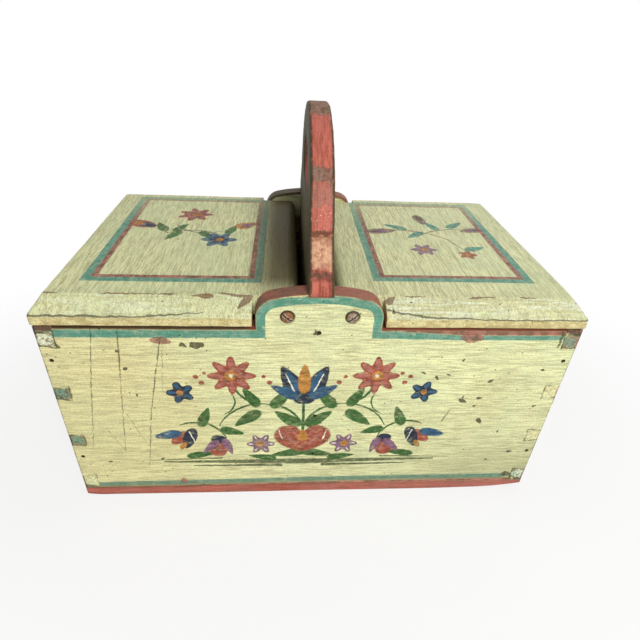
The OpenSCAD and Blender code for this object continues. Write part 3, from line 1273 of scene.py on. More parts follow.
RIGHT_SPRIG: tuple[Layer, ...] = (
    (Pigment.TWIG, (
        Curl((-20.0, -34.0), 44.0, 38.0, 98.0, 0.8), Curl((26.0, -30.0), 44.0, 84.0, 142.0, 0.8),
        Stroke((14.0, -8.0), (21.0, -24.0)),
    )),
    (Pigment.TEAL, (
        Petal(-20.0, 16.0, 150.0, 9.0, 3.2), Petal(-8.0, 2.0, -140.0, 8.5, 3.0),
        Petal(26.0, 22.0, 40.0, 9.0, 3.2), Petal(8.0, 19.0, 112.0, 8.5, 3.0),
        Petal(28.0, -20.0, 20.0, 8.0, 3.0),
    )),
    (Pigment.GREY_BROWN, (
        Petal(-32.0, 8.0, 190.0, 11.0, 4.6, -0.2), Petal(37.0, 12.5, 12.0, 10.0, 4.2, -0.2),
        Petal(2.0, 32.0, 96.0, 10.0, 4.2, -0.2),
    )),
    (Pigment.MAUVE, (
        Rosette(-8.0, -23.0, 9.0, 6.0), Petal(-34.0, 7.5, 190.0, 7.0, 2.4),
        Petal(39.0, 13.0, 12.0, 6.5, 2.2),
    )),
    (Pigment.UMBER, (
        Petal(2.0, 35.0, 96.0, 5.5, 2.2), Petal(-37.0, 7.0, 190.0, 4.0, 1.2),
        Petal(41.0, 13.3, 12.0, 4.0, 1.1),
    )),
    (Pigment.BRICK, (Rosette(20.0, -30.0, 6.5, 5.0),)),
    (Pigment.OCHRE, (Rosette(-8.0, -23.0, 3.0), Rosette(20.0, -30.0, 2.2))),
)

# Nicks, cracks and rubbed places on the front, in its own X and Z

FRONT_NICKS: tuple[Motif, ...] = (
    Petal(-1.5, 133.8, 30.0, 2.3, 0.9), Petal(-1.5, 133.8, 120.0, 2.0, 0.7),
    Petal(-109.5, 121.2, 0.0, 1.1, 0.9), Petal(-107.0, 109.0, 20.0, 1.4, 1.0),
    Petal(-104.0, 89.4, 80.0, 1.2, 0.6), Petal(-76.3, 86.9, 0.0, 1.2, 0.8),
    Petal(63.0, 105.6, -20.0, 1.6, 0.6), Petal(71.5, 101.8, -50.0, 1.9, 0.8),
    Petal(78.3, 104.1, -10.0, 1.7, 0.6), Petal(85.0, 115.3, 60.0, 1.5, 0.8),
    Petal(105.1, 99.4, 20.0, 2.0, 1.0), Petal(91.0, 83.5, -25.0, 3.0, 1.3),
    Petal(90.6, 87.0, 70.0, 1.2, 0.5), Petal(101.5, 85.8, 5.0, 2.2, 0.7), Petal(99.2, 79.2, 40.0, 1.0, 0.8),
    Petal(105.5, 66.1, -60.0, 2.7, 1.5), Petal(133.0, 37.8, 10.0, 1.9, 1.0),
    Petal(134.9, 107.9, 0.0, 1.3, 0.7), Petal(138.1, 78.8, 30.0, 1.4, 0.8),
    Petal(119.0, 30.0, 0.0, 1.0, 0.6), Petal(120.0, 57.0, 90.0, 1.2, 0.5),
    Petal(-129.0, 33.0, 0.0, 1.3, 0.7), Petal(-96.0, 35.0, 30.0, 1.5, 0.6),
)
FRONT_CRACKS: tuple[Motif, ...] = (
    Stroke((-120.4, 136.0), (-129.0, 92.0), 0.22, 0.3), Stroke((-129.0, 92.0), (-137.0, 46.0), 0.3, 0.12),
    Stroke((-106.6, 137.0), (-110.8, 104.4), 0.5, 0.34), Stroke((-110.8, 104.4), (-118.2, 43.0), 0.3, 0.14),
    Stroke((-85.7, 130.0), (-98.2, 73.5), 0.36, 0.38), Stroke((-98.2, 73.5), (-105.2, 29.0), 0.38, 0.14),
    Stroke((-85.0, 126.0), (-89.0, 92.0), 0.22, 0.08), Stroke((81.0, 67.0), (84.8, 76.5), 0.5, 0.3),
    Stroke((-125.0, 60.0), (-118.0, 43.0), 0.2, 0.1), Stroke((-112.0, 74.0), (-103.0, 46.0), 0.2, 0.08),
)
FRONT_RUBS: tuple[Motif, ...] = (
    Petal(-85.2, 128.0, -8.0, 6.0, 2.4, 0.2), Petal(87.0, 131.0, -10.0, 6.4, 3.4, 0.3),
    Petal(-85.2, 13.4, 80.0, 2.4, 2.0),
)
TAB_BARED = Stroke((-21.0, 156.3), (-7.5, 157.3), 0.8, 0.9)
FRONT_CHIPS: tuple[Motif, ...] = (
    Petal(-73.9, 125.2, -30.0, 2.2, 1.4), Petal(-66.5, 125.4, 8.0, 4.4, 2.4, 0.1),
    Petal(137.5, 14.5, -20.0, 4.4, 2.2, 0.2), Petal(-141.5, 126.0, -50.0, 4.2, 1.5),
    Petal(-146.5, 135.0, 10.0, 4.5, 1.6), Petal(138.6, 130.5, 90.0, 6.5, 0.8, 0.0),
    Petal(142.5, 133.2, 0.0, 4.5, 0.7, 0.0), Petal(-72.0, 8.4, 0.0, 4.4, 1.2, 0.1),
)


# Materials


@dataclass
class Surface:
    """The place that a material is shading, in millimetres, and the colour laid on it so far."""

    material: bpy.types.Material
    graph: Graph
    place: Place
    x: Wire
    y: Wire
    z: Wire
    arris: Wire | None = None
    colour: Tint | None = None

    @classmethod
    def start(cls, name: str) -> "Surface":
        """Makes a material's empty graph with its coordinates.

        Args:
            name: Name of the material.

        Returns:
            The surface, with its arris and colour still to be set.
        """
        material = bpy.data.materials.new(name)
        material.use_nodes = True
        material.node_tree.nodes.clear()
        graph = Graph(material.node_tree)
        place = graph.fetch("TexCoord", {}, "Object") * (1.0 / MM)
        return cls(material, graph, place, *place.parts())

    def noise(
        self, size: float, detail: float = 3.0, rough: float = 0.6, squeeze: Triple | None = None,
    ) -> Wire:
        """Noise at the place.

        Args:
            size: Width of its largest features.
            detail: Number of finer layers.
            rough: Strength of the finer layers.
            squeeze: Factors of the axes before the noise is read, if any.

        Returns:
            The noise, from 0 to 1.
        """
        place = self.place if squeeze is None else self.place * squeeze
        return self.graph.noise(place, size, detail, rough)

    def mottle(self, size: float, first: Paint, second: Paint) -> Tint:
        """A colour that wavers between two others at the place."""
        return self.graph.mottle(self.place, size, first, second)

    def lay(self, share: Number, paint: Paint) -> None:
        """Lays a paint over the colour, where share says how well it covers."""
        self.colour = self.graph.blend(share, self.colour, paint)

    def shaken(self, reach: float = 0.6, size: float = 2.8) -> Place:
        """The place with the unsteadiness of a hand-held brush."""
        inputs = {"Vector": self.place, "Scale": 1.0 / size, "Detail": 3.0}
        colours = self.graph.node("TexNoise", inputs).outputs["Color"]
        return self.place + (Place(self.graph, colours) - (0.5,) * 3) * (2.0 * reach)

    def close(self, rough: Wire, height: Wire, depth: float, metal: Wire | None = None) -> bpy.types.Material:
        """Ends the graph in a shader of the colour laid so far.

        Args:
            rough: Roughness.
            height: Relief, from 0 to 1.
            depth: Depth of the relief, in millimetres.
            metal: Metallic share, if any.

        Returns:
            The material.
        """
        graph = self.graph
        normal = graph.fetch("Bump", {"Distance": depth * MM, "Height": height})
        inputs = {"Base Color": self.colour, "Roughness": rough, "Normal": normal, "Specular IOR Level": 0.22}
        if metal is not None:
            inputs["Metallic"] = metal
        graph.node("OutputMaterial", {"Surface": graph.fetch("BsdfPrincipled", inputs)})
        return self.material


@dataclass(frozen=True)
class AgedPaint:
    """Old brushed paint over wood, with drift of colour, streaks, nicks, chips and grime.

    Attributes:
        light: Colour of the raised streaks.
        dark: Colour of the hollow streaks.
        drift: Colour of the broad clouds.
        streak: How far each axis is squeezed along the brush strokes.
        grain: Order of the axes that turns the grain along the first.
        chips: How readily the paint chips, about -0.1 to 0.1.
        nick_share: Share of the cells that hold a nick.
        dirt: Strength of the grime.
        rough: Roughness of the paint.
        depth: Depth of the relief, in millimetres.
    """

    light: Pigment
    dark: Pigment
    drift: Pigment
    streak: Triple
    grain: tuple[int, int, int] = (0, 1, 2)
    chips: float = 0.0
    nick_share: float = 0.2
    dirt: float = 0.5
    rough: float = 0.5
    depth: float = 0.25

    def coat(self, surface: Surface) -> None:
        """Gives a surface the intact paint's colour, with its streaks and drift.

        Args:
            surface: The bare surface.
        """
        tone, _ = brush_streaks(surface.graph, place=surface.place, stretch=self.streak)
        surface.colour = surface.graph.blend(tone.rise(0.34, 0.56), self.dark, self.light)
        surface.lay(surface.noise(42.0).rise(0.4, 0.62) * 0.7, self.drift)

    def age(self, surface: Surface, bare: Wire, marks: Wire | None = None) -> bpy.types.Material:
        """Lays the wear over the painted colour and ends the material.

        Args:
            surface: The painted surface, with its arris.
            bare: Where the wood was never painted, from 0 to 1.
            marks: Nicks and cracks at places of their own, if any.

        Returns:
            The material.
        """
        graph, place, arris = surface.graph, surface.place, surface.arris
        tone, line = brush_streaks(graph, place=place, stretch=self.streak)
        light = 0.66 + tone.rise(0.36, 0.64) * 0.3 + surface.noise(0.9, 2.0).rise(0.34, 0.6) * 0.2
        surface.colour = graph.shade(surface.colour, light)
        surface.lay(line * 0.34, Pigment.OLIVE)
        axes = (surface.x, surface.y, surface.z)
        wood, fibres = wood_grain(
            graph, place=graph.join(*(axes[index] for index in self.grain)),
            dark=Pigment.BARE_DARK, middle=Pigment.BARE, light=Pigment.BARE_LIGHT,
        )
        chips, rims = paint_chips(graph, place=place, arris=arris, reach=1.2, amount=self.chips)
        pits = nicks(graph, place=place, size=1.15, spread=13.0, share=self.nick_share)
        pits = pits.most(nicks(graph, place=place, size=0.55, spread=4.2, share=self.nick_share * 1.3))
        if marks is not None:
            pits = pits.most(marks)
        dirt = grime(graph, place=place, arris=arris, reach=1.5).least(1.0) * self.dirt
        surface.lay(dirt * 0.6, Pigment.OLIVE)
        surface.lay(rims * 0.55, Pigment.UMBER)
        surface.lay(chips, graph.blend(surface.noise(6.0).rise(0.45, 0.6), Pigment.UMBER, wood))
        surface.lay(pits * 0.86, Pigment.SOOT)
        surface.lay(bare, graph.shade(wood, 0.55 + surface.noise(38.0) * 0.7))
        hollow = (chips * 0.5 + pits * 0.5 + line * 0.15) * (1.0 - bare)
        relief = tone * 0.6 - hollow + fibres * bare * 0.5
        return surface.close(self.rough + tone * 0.12 + chips.most(bare) * 0.22, relief + 0.5, self.depth)


def paint_layers(surface: Surface, flat: Place, layers: Sequence[Layer], cover: Wire) -> None:
    """Paints an ornament over a surface, layer by layer.

    Args:
        surface: The surface under the brush.
        flat: Flat coordinates on the board.
        layers: Pigments and their motifs, from the lowest up.
        cover: How well the paint covers, from 0 to 1.
    """
    graph = surface.graph
    depth = 0.55 + surface.noise(2.2, 4.0, 0.7, (0.5, 0.5, 0.9)).rise(0.3, 0.7) * 0.75
    for pigment, motifs in layers:
        surface.lay(mask_of(graph, flat, motifs) * cover, graph.shade(pigment, depth))


@effect
def long_board_form(graph: Graph, place: Place) -> dict[str, Wire]:
    """Distances on the front and back boards, whose tab is a crown circle with round shoulders.

    Args:
        graph: The group's nodes.
        place: Place, in millimetres.

    Returns:
        The depth under the rim and tab outline, and the distance to the next arris.
    """
    size = SIZES
    x, y, z = place.parts()
    x, y = abs(x), abs(y)
    shoulder_x, shoulder_z = size.tab_shoulder
    crown = size.crown_radius - graph.join(x, z - size.crown_z).length()
    corner = graph.join((x - shoulder_x).most(0.0), (z - shoulder_z).most(0.0)).length()
    outer = graph.math("GREATER_THAN", x, shoulder_x)
    tab = crown * (1.0 - outer) + (size.shoulder_radius - corner) * outer
    outline = tab.most(size.rim - z)
    sides = [outline, abs(size.half_depth - y), abs(y - size.inner_y), size.half_length - x, z - size.base]
    return {"outline": outline, "arris": second_least(sides)}


@effect
def pin_form(graph: Graph, place: Place) -> dict[str, Wire]:
    """Distance outside the nearest dovetail pin, whose half height grows towards the inside.

    Args:
        graph: The group's nodes.
        place: Place, in millimetres.

    Returns:
        The distance.
    """
    size = SIZES
    x, z = place.parts("xz")
    x = abs(x)
    folded = graph.math("PINGPONG", z - size.pin_z(0), (size.pin_z(1) - size.pin_z(0)) / 2)
    half = size.pin_height / 2 + (size.half_length - x) * (size.pin_flare / size.end)
    return {"away": (folded - half).most(size.inner_x - x)}


@effect
def lid_form(graph: Graph, place: Place) -> dict[str, Wire]:
    """Distance to the next arris on a lid, from the planes of its faces.

    Args:
        graph: The group's nodes.
        place: Place, in millimetres.

    Returns:
        The distance.
    """
    size = SIZES
    x, y, z = place.parts()
    x = abs(x)
    rise = size.lid_high - size.strip_top
    front, back, end = size.half_depth + y, size.half_depth - y, size.lid_end - x
    sides = [abs(size.lid_high - z), z - size.lid_low, end, front, back]
    for run, inside in ((size.front_bevel, front), (size.back_bevel, back), (size.end_bevel, end)):
        slope = math.hypot(run, rise)
        sides.append(abs(inside * (rise / slope) - (z - size.strip_top) * (run / slope)))
    return {"arris": second_least(sides)}


def band_teal(surface: Surface) -> Tint:
    """The worn teal of the painted lines."""
    return surface.mottle(5.0, Pigment.TEAL, Pigment.TEAL_WORN)


def skin(out: Wire, plane: float) -> Wire:
    """1 on an outer face at a distance from the middle, and 0 from 0.8 behind it."""
    return out.rise(plane - 0.8, plane - 0.3)


@dataclass(frozen=True)
class WallFinish:
    """Pale paint with border lines on the front and back boards.

    Attributes:
        name: Name of the material.
        side: -1 for the board whose outer face looks along -Y, 1 for the other.
        ornament: Layers painted on the face, if any.
        worn: Whether the front's own nicks and cracks are on it.
        middle: X and Z of the middle of the ornament.
    """

    name: str
    side: int
    ornament: tuple[Layer, ...] = ()
    worn: bool = False
    middle: Pair = (-7.0, 72.0)

    def build(self) -> bpy.types.Material:
        """Makes the material.

        Returns:
            The material.
        """
        size, surface = SIZES, Surface.start(self.name)
        outline, surface.arris = long_board_form(surface.graph, place=surface.place)
        paint = AgedPaint(
            Pigment.PALE, Pigment.STRAW, Pigment.SAGE, (0.05, 0.5, 0.8), chips=-0.045,
            nick_share=0.28, dirt=0.4,
        )
        out = surface.y * float(self.side)
        face = skin(out, size.half_depth)
        below = surface.z.fall(size.rim + 1.0, size.rim + 5.0)
        inside = out.fall(size.inner_y + 0.4, size.inner_y + 0.9) * below
        wander = surface.noise(7.0) * 1.6 - 0.8
        paint.coat(surface)
        self._drift(surface)
        if self.ornament:
            self._spray(surface, face)
        red = surface.mottle(7.0, Pigment.PLUM, Pigment.ROSE)
        self._lines(surface, face, outline + wander * 0.7)
        self._foot(surface, face, wander, red)
        self._rim(surface, face, outline, outline + wander * 0.7, red)
        self._rubs(surface, face, wander)
        return paint.age(surface, inside, self._marks(surface, face))

    def _flat(self, surface: Surface, reach: float) -> Place:
        """The face's own X and Z, shaken by a reach."""
        return surface.graph.join(*surface.shaken(reach, 1.4 + reach).parts("xz"))

    def _drift(self, surface: Surface) -> None:
        """Lays a warmer tone towards the left and a greener one low on the right.

        Args:
            surface: The painted surface.
        """
        graph = surface.graph
        warm = surface.x.fall(-150.0, 10.0) * 0.6 + surface.noise(60.0).rise(0.5, 0.7) * 0.3
        surface.lay(warm, graph.shade(Pigment.CREAM, 0.8 + surface.noise(2.0) * 0.3))
        worn = surface.z.fall(SIZES.base, SIZES.base + 80.0) * surface.x.rise(20.0, 130.0)
        surface.lay(worn * 0.65, Pigment.MOSS_PALE)

    def _spray(self, surface: Surface, face: Wire) -> None:
        """Paints the spray, mirrored about its middle, on the face.

        Args:
            surface: The painted surface.
            face: Where the outer face is.
        """
        x, z = surface.shaken().parts("xz")
        flat = surface.graph.join(abs(x - self.middle[0]), z - self.middle[1])
        brushed = surface.noise(2.0, 5.0, 0.7, (0.5, 1.0, 0.9)).rise(0.3, 0.52)
        paint_layers(surface, flat, self.ornament, face * (0.62 + brushed * 0.38))

    def _pink(self, surface: Surface) -> Wire:
        """Width of the red edging above the teal line, which grows towards the right."""
        return surface.x.rise(34.0, 90.0) * 2.4 + 0.55

    def _faded(self, surface: Surface) -> Wire:
        """How well the border lines still cover."""
        return 0.95 - surface.noise(11.0, 4.0, 0.7).rise(0.56, 0.7) * 0.45

    def _lines(self, surface: Surface, face: Wire, deep: Wire) -> None:
        """Lays the teal line under the rim and round the tab.

        Args:
            surface: The painted surface.
            face: Where the outer face is.
            deep: Depth under the outline, with the brush's wander.
        """
        pink = self._pink(surface)
        line = (deep - pink).rise(-0.35, 0.35) * (deep - pink * 0.3).fall(4.9, 5.5)
        surface.lay(line * face * self._faded(surface), band_teal(surface))

    def _foot(self, surface: Surface, face: Wire, wander: Wire, red: Tint) -> None:
        """Lays the teal band along the bottom, its dark lower edge and the red that laps over.

        Args:
            surface: The painted surface.
            face: Where the outer face is.
            wander: The brush's wander.
            red: The mottled red.
        """
        low = surface.z + wander * 0.5 - SIZES.base - surface.x.rise(-150.0, 50.0) * 2.0
        foot = low.band(1.2, 5.2, 1.4) * surface.x.fall(134.0, 139.0)
        surface.lay(foot * face * self._faded(surface) * 0.9, surface.graph.shade(band_teal(surface), 0.7))
        surface.lay(low.band(-0.4, 1.4, 1.2) * face * 0.6, Pigment.OLIVE)
        surface.lay(low.fall(-0.6, 0.7) * face * 0.95, surface.graph.shade(red, 1.2))

    def _rim(self, surface: Surface, face: Wire, outline: Wire, deep: Wire, red: Tint) -> None:
        """Lays the red edging over the teal line and on the narrow top, with painted shade in both: the
        edging is dark umber on the left, for the shadow under the lid, and the back board's narrow top is
        dark olive.

        Args:
            surface: The painted surface.
            face: Where the outer face is.
            outline: Depth under the outline.
            deep: The same with the brush's wander.
            red: The mottled red.
        """
        graph, x = surface.graph, surface.x
        above = (deep - self._pink(surface)).fall(-0.5, 0.2)
        # Painted shadow under the lid: the edging is dark umber on the left and turns red towards the right.
        surface.lay(above * face * 0.92, graph.blend(x.rise(10.0, 70.0), Pigment.UMBER, red))
        # Painted shade on the back board's narrow top, which is dark olive and umber; on either board the top
        # also turns umber on the left.
        pair = (Pigment.PLUM, Pigment.BRICK) if self.side < 0 else (Pigment.OLIVE_DARK, Pigment.UMBER)
        edge = graph.blend(x.fall(-44.0, -34.0) * 0.9, surface.mottle(8.0, *pair), Pigment.UMBER)
        edge = graph.blend(x.rise(-30.0, 40.0) * 0.7, edge, Pigment.BRICK)
        surface.lay((1.0 - face) * outline.fall(1.0, 3.0) * 0.95, edge)

    def _rubs(self, surface: Surface, face: Wire, wander: Wire) -> None:
        """Lays the rubbed places, the bared crown of the tab and the worn corners.

        Args:
            surface: The painted surface.
            face: Where the outer face is.
            wander: The brush's wander.
        """
        graph = surface.graph
        if self.worn:
            rubs = mask_of(graph, self._flat(surface, 1.5), FRONT_RUBS)
            surface.lay(rubs * face * 0.8, surface.mottle(3.0, Pigment.ROSE, Pigment.PLUM))
        surface.lay(TAB_BARED.draw(graph, self._flat(surface, 1.0)) * face * 0.85, Pigment.CREAM)
        corner = (SIZES.half_length - abs(surface.x) + wander).fall(0.4, 1.3)
        surface.lay(corner * surface.noise(5.0, 4.0).rise(0.4, 0.52) * face * 0.75, Pigment.UMBER)

    def _marks(self, surface: Surface, face: Wire) -> Wire:
        """Lays the front's chips, and gathers the dark seams, cracks and nicks.

        Args:
            surface: The painted surface.
            face: Where the outer face is.

        Returns:
            The seams round the pins, with the front's cracks and nicks if it is worn.
        """
        graph, place = surface.graph, surface.place
        seams = pin_form(graph, place=place).band(-0.1, 0.5, 0.4) * surface.noise(6.0).rise(0.42, 0.58)
        marks = seams * 0.8
        if not self.worn:
            return marks
        broken = surface.noise(2.4, squeeze=(1.0, 1.0, 0.5)).rise(0.36, 0.54) * 0.75 + 0.1
        marks = marks.most(mask_of(graph, self._flat(surface, 0.8), FRONT_CRACKS) * face * broken)
        chips = mask_of(graph, self._flat(surface, 1.6), FRONT_CHIPS) * face
        surface.lay(chips * 0.9, surface.mottle(2.2, Pigment.UMBER, Pigment.MOSS))
        return marks.most(mask_of(graph, self._flat(surface, 0.9), FRONT_NICKS) * face)


@dataclass(frozen=True)
class EndFinish:
    """Pale paint on an end board, with the worn end grain of its pins.

    Attributes:
        name: Name of the material.
        patches: Numbers of the pins with rubbed ends at the front, and their two colours.
        edge: Colour along the board's front edge.
        patch_x: Distance of the patches' middles from the middle of the carrier.
        patch_half: Half the width and height of a patch.
    """

    name: str
    patches: tuple[tuple[int, Pigment, Pigment], ...]
    edge: Pigment
    patch_x: float = 145.6
    patch_half: Pair = (4.8, 4.2)

    def build(self) -> bpy.types.Material:
        """Makes the material.

        Returns:
            The material.
        """
        size, surface = SIZES, Surface.start(self.name)
        graph, z = surface.graph, surface.z
        x, y = abs(surface.x), abs(surface.y)
        sides = [size.half_length - x, x - size.inner_x, size.half_depth - y, z - size.base]
        surface.arris = second_least([*sides, size.end_top - z])
        paint = AgedPaint(
            Pigment.PALE, Pigment.STRAW, Pigment.CREAM, (0.5, 0.05, 0.8), grain=(1, 0, 2),
            chips=-0.035, dirt=0.6,
        )
        paint.coat(surface)
        self._lines(surface, skin(x, size.half_length))
        self._patches(surface, x, skin(surface.y * -1.0, size.half_depth))
        seam = pin_form(graph, place=surface.place).rise(-0.8, -0.1) * skin(y, size.half_depth)
        seam = seam * surface.noise(6.0).rise(0.36, 0.54)
        bare = x.fall(size.inner_x + 0.4, size.inner_x + 0.9) * y.fall(size.inner_y, size.inner_y + 0.4)
        return paint.age(surface, bare, seam * 0.85)

    def _lines(self, surface: Surface, face: Wire) -> None:
        """Carries the front's border lines round.

        Args:
            surface: The painted surface.
            face: Where the outer face is.
        """
        wander = surface.noise(9.0) * 1.5 - 0.75
        deep = SIZES.rim - surface.z + wander
        foot = (surface.z + wander * 0.5 - SIZES.base).band(0.5, 2.6, 0.5)
        surface.lay(deep.band(1.2, 5.7, 0.7).most(foot) * face * 0.92, band_teal(surface))
        surface.lay(deep.fall(0.8, 1.4) * 0.85, surface.mottle(7.0, Pigment.ROSE, Pigment.PLUM))

    def _patches(self, surface: Surface, x: Wire, front: Wire) -> None:
        """Lays the rubbed pin ends and the edging on the front edge.

        Args:
            surface: The painted surface.
            x: Distance from the middle of the carrier.
            front: Where the front edge is.
        """
        wide, high = self.patch_half
        for index, first, second in self.patches:
            across = surface.graph.join((x - self.patch_x) / wide, (surface.z - SIZES.pin_z(index)) / high)
            away = across.length() + (surface.noise(3.4, 4.0, 0.75) - 0.5) * 2.4
            surface.lay(away.band(0.95, 1.35, 0.2) * front * 0.75, Pigment.UMBER)
            surface.lay(away.fall(0.84, 1.02) * front * 0.92, surface.mottle(1.6, first, second))
        edging = x.rise(148.2, 149.0) * front * surface.noise(9.0, 4.0).rise(0.36, 0.54)
        surface.lay(edging * 0.8, self.edge)


@dataclass(frozen=True)
class LidFinish:
    """Pale paint on a lid, with a framed field, paler bevels and rubbed arrises.

    Attributes:
        name: Name of the material.
        side: -1 for the left lid, 1 for the right.
        ornament: Layers painted inside the frame.
        chalky: How pale the front bevel is, from 0 to 1.
        stained: How dark the tongue is painted beside the handle, from 0 to 1: painted shadow of the handle,
            with some grime.
        bared: Places rubbed to the wood, in X and Y.
        cracks: Dark lines on the front bevel, in X and Z.
        frame_x: Inner and outer side of the frame.
        frame_y: Front and back of the frame.
        lines: Widths of the frame's red and teal lines.
    """

    name: str
    side: int
    ornament: tuple[Layer, ...]
    chalky: float
    stained: float
    bared: tuple[Motif, ...]
    cracks: tuple[Motif, ...]
    frame_x: Pair
    frame_y: Pair
    lines: Pair = (3.3, 4.6)

    def build(self) -> bpy.types.Material:
        """Makes the material.

        Returns:
            The material.
        """
        size, surface = SIZES, Surface.start(self.name)
        surface.arris = lid_form(surface.graph, place=surface.place)
        paint = AgedPaint(
            Pigment.PALE, Pigment.STRAW, Pigment.SAGE, (0.9, 0.06, 0.6), chips=-0.035,
            nick_share=0.16, dirt=0.5,
        )
        paint.coat(surface)
        self._field(surface, surface.z.rise(size.lid_high - 1.0, size.lid_high - 0.4))
        bevel = (surface.y + size.half_depth).fall(size.front_bevel - 1.2, size.front_bevel + 0.2)
        self._bevel(surface, bevel)
        # Painted shadow of the handle on the tongue, heavy on the left lid, with some grime on both lids.
        hand = (surface.x * float(self.side)).fall(24.0, 46.0) * surface.y.rise(-86.0, -54.0)
        surface.lay(hand * self.stained, Pigment.OLIVE)
        flat = surface.shaken(1.1, 2.4) * (1.0, 1.0, 0.0)
        wood = surface.mottle(3.0, Pigment.BARE_DARK, Pigment.GREY_BROWN)
        surface.lay(mask_of(surface.graph, flat, self.bared) * 0.85, wood)
        upright = surface.graph.join(*surface.shaken(0.7, 5.0).parts("xz"))
        marks = mask_of(surface.graph, upright, self.cracks) * bevel
        return paint.age(surface, surface.z.fall(size.lid_low + 0.15, size.lid_low + 0.6), marks * 0.85)

    def _field(self, surface: Surface, top: Wire) -> None:
        """Paints the ornament and its frame of two lines.

        Args:
            surface: The painted surface.
            top: Where the flat top is.
        """
        graph, y = surface.graph, surface.y
        middle_x, middle_y = (sum(pair) / 2 for pair in (self.frame_x, self.frame_y))
        half_x, half_y = ((pair[1] - pair[0]) / 2 for pair in (self.frame_x, self.frame_y))
        beside = abs(surface.x * float(self.side) - middle_x) - half_x
        wander = surface.noise(12.0) * 1.2 - 0.6
        away = beside.most(abs(y - middle_y) - half_y) + wander * 0.7
        shaken_x, shaken_y = surface.shaken().parts("xy")
        flat = graph.join(shaken_x - middle_x * self.side, shaken_y - middle_y)
        brushed = surface.noise(2.0, 5.0, 0.7, (0.9, 0.4, 1.0)).rise(0.3, 0.56)
        paint_layers(surface, flat, self.ornament, top * (0.6 + brushed * 0.38))
        thin = top * (0.72 + brushed * 0.26) * (1.0 - y.rise(20.0, 75.0) * 0.35)
        red, teal = self.lines
        surface.lay(away.band(-red, 0.1, 0.8) * thin, surface.mottle(6.0, Pigment.PLUM, Pigment.ROSE))
        surface.lay(away.band(0.0, teal, 0.8) * thin, band_teal(surface))

    def _bevel(self, surface: Surface, bevel: Wire) -> None:
        """Chalks the front bevel and stains the strip under it.

        Args:
            surface: The painted surface.
            bevel: Where the front bevel and its strip are.
        """
        graph = surface.graph
        along = surface.noise(0.9, 4.0, 0.7, (0.03, 0.5, 0.7)).rise(0.4, 0.6)
        chalk = graph.blend(along, Pigment.STRAW, Pigment.CHALK)
        surface.lay(bevel * self.chalky * surface.noise(14.0).rise(0.3, 0.55), chalk)
        strip = bevel * (surface.z - SIZES.strip_top).fall(-0.8, 0.0)
        drawn = surface.place * (0.5, 1.0, 1.0)
        surface.lay(strip * 0.85, graph.mottle(drawn, 4.0, Pigment.CREAM, Pigment.OCHRE_WASH))


@dataclass(frozen=True)
class BaseFinish:
    """Worn brick red paint on the bottom board."""

    name: str = "base_red"

    def build(self) -> bpy.types.Material:
        """Makes the material.

        Returns:
            The material.
        """
        size, surface = SIZES, Surface.start(self.name)
        x, z = surface.x, surface.z
        sides = [size.half_length - abs(x), size.half_depth - abs(surface.y), z, size.base - z]
        surface.arris = second_least(sides)
        paint = AgedPaint(
            Pigment.BRICK_LIGHT, Pigment.BRICK, Pigment.ROSE, (0.05, 0.05, 0.7), chips=-0.03, dirt=0.9,
        )
        paint.coat(surface)
        surface.lay(x.rise(-40.0, 110.0) * 0.5, Pigment.ROSE)
        surface.lay(z.rise(size.base - 0.9, size.base - 0.3) * x.fall(-120.0, 20.0) * 0.7, Pigment.UMBER)
        return paint.age(surface, z.fall(0.1, 0.8).most(z.rise(size.base - 0.3, size.base - 0.1)))


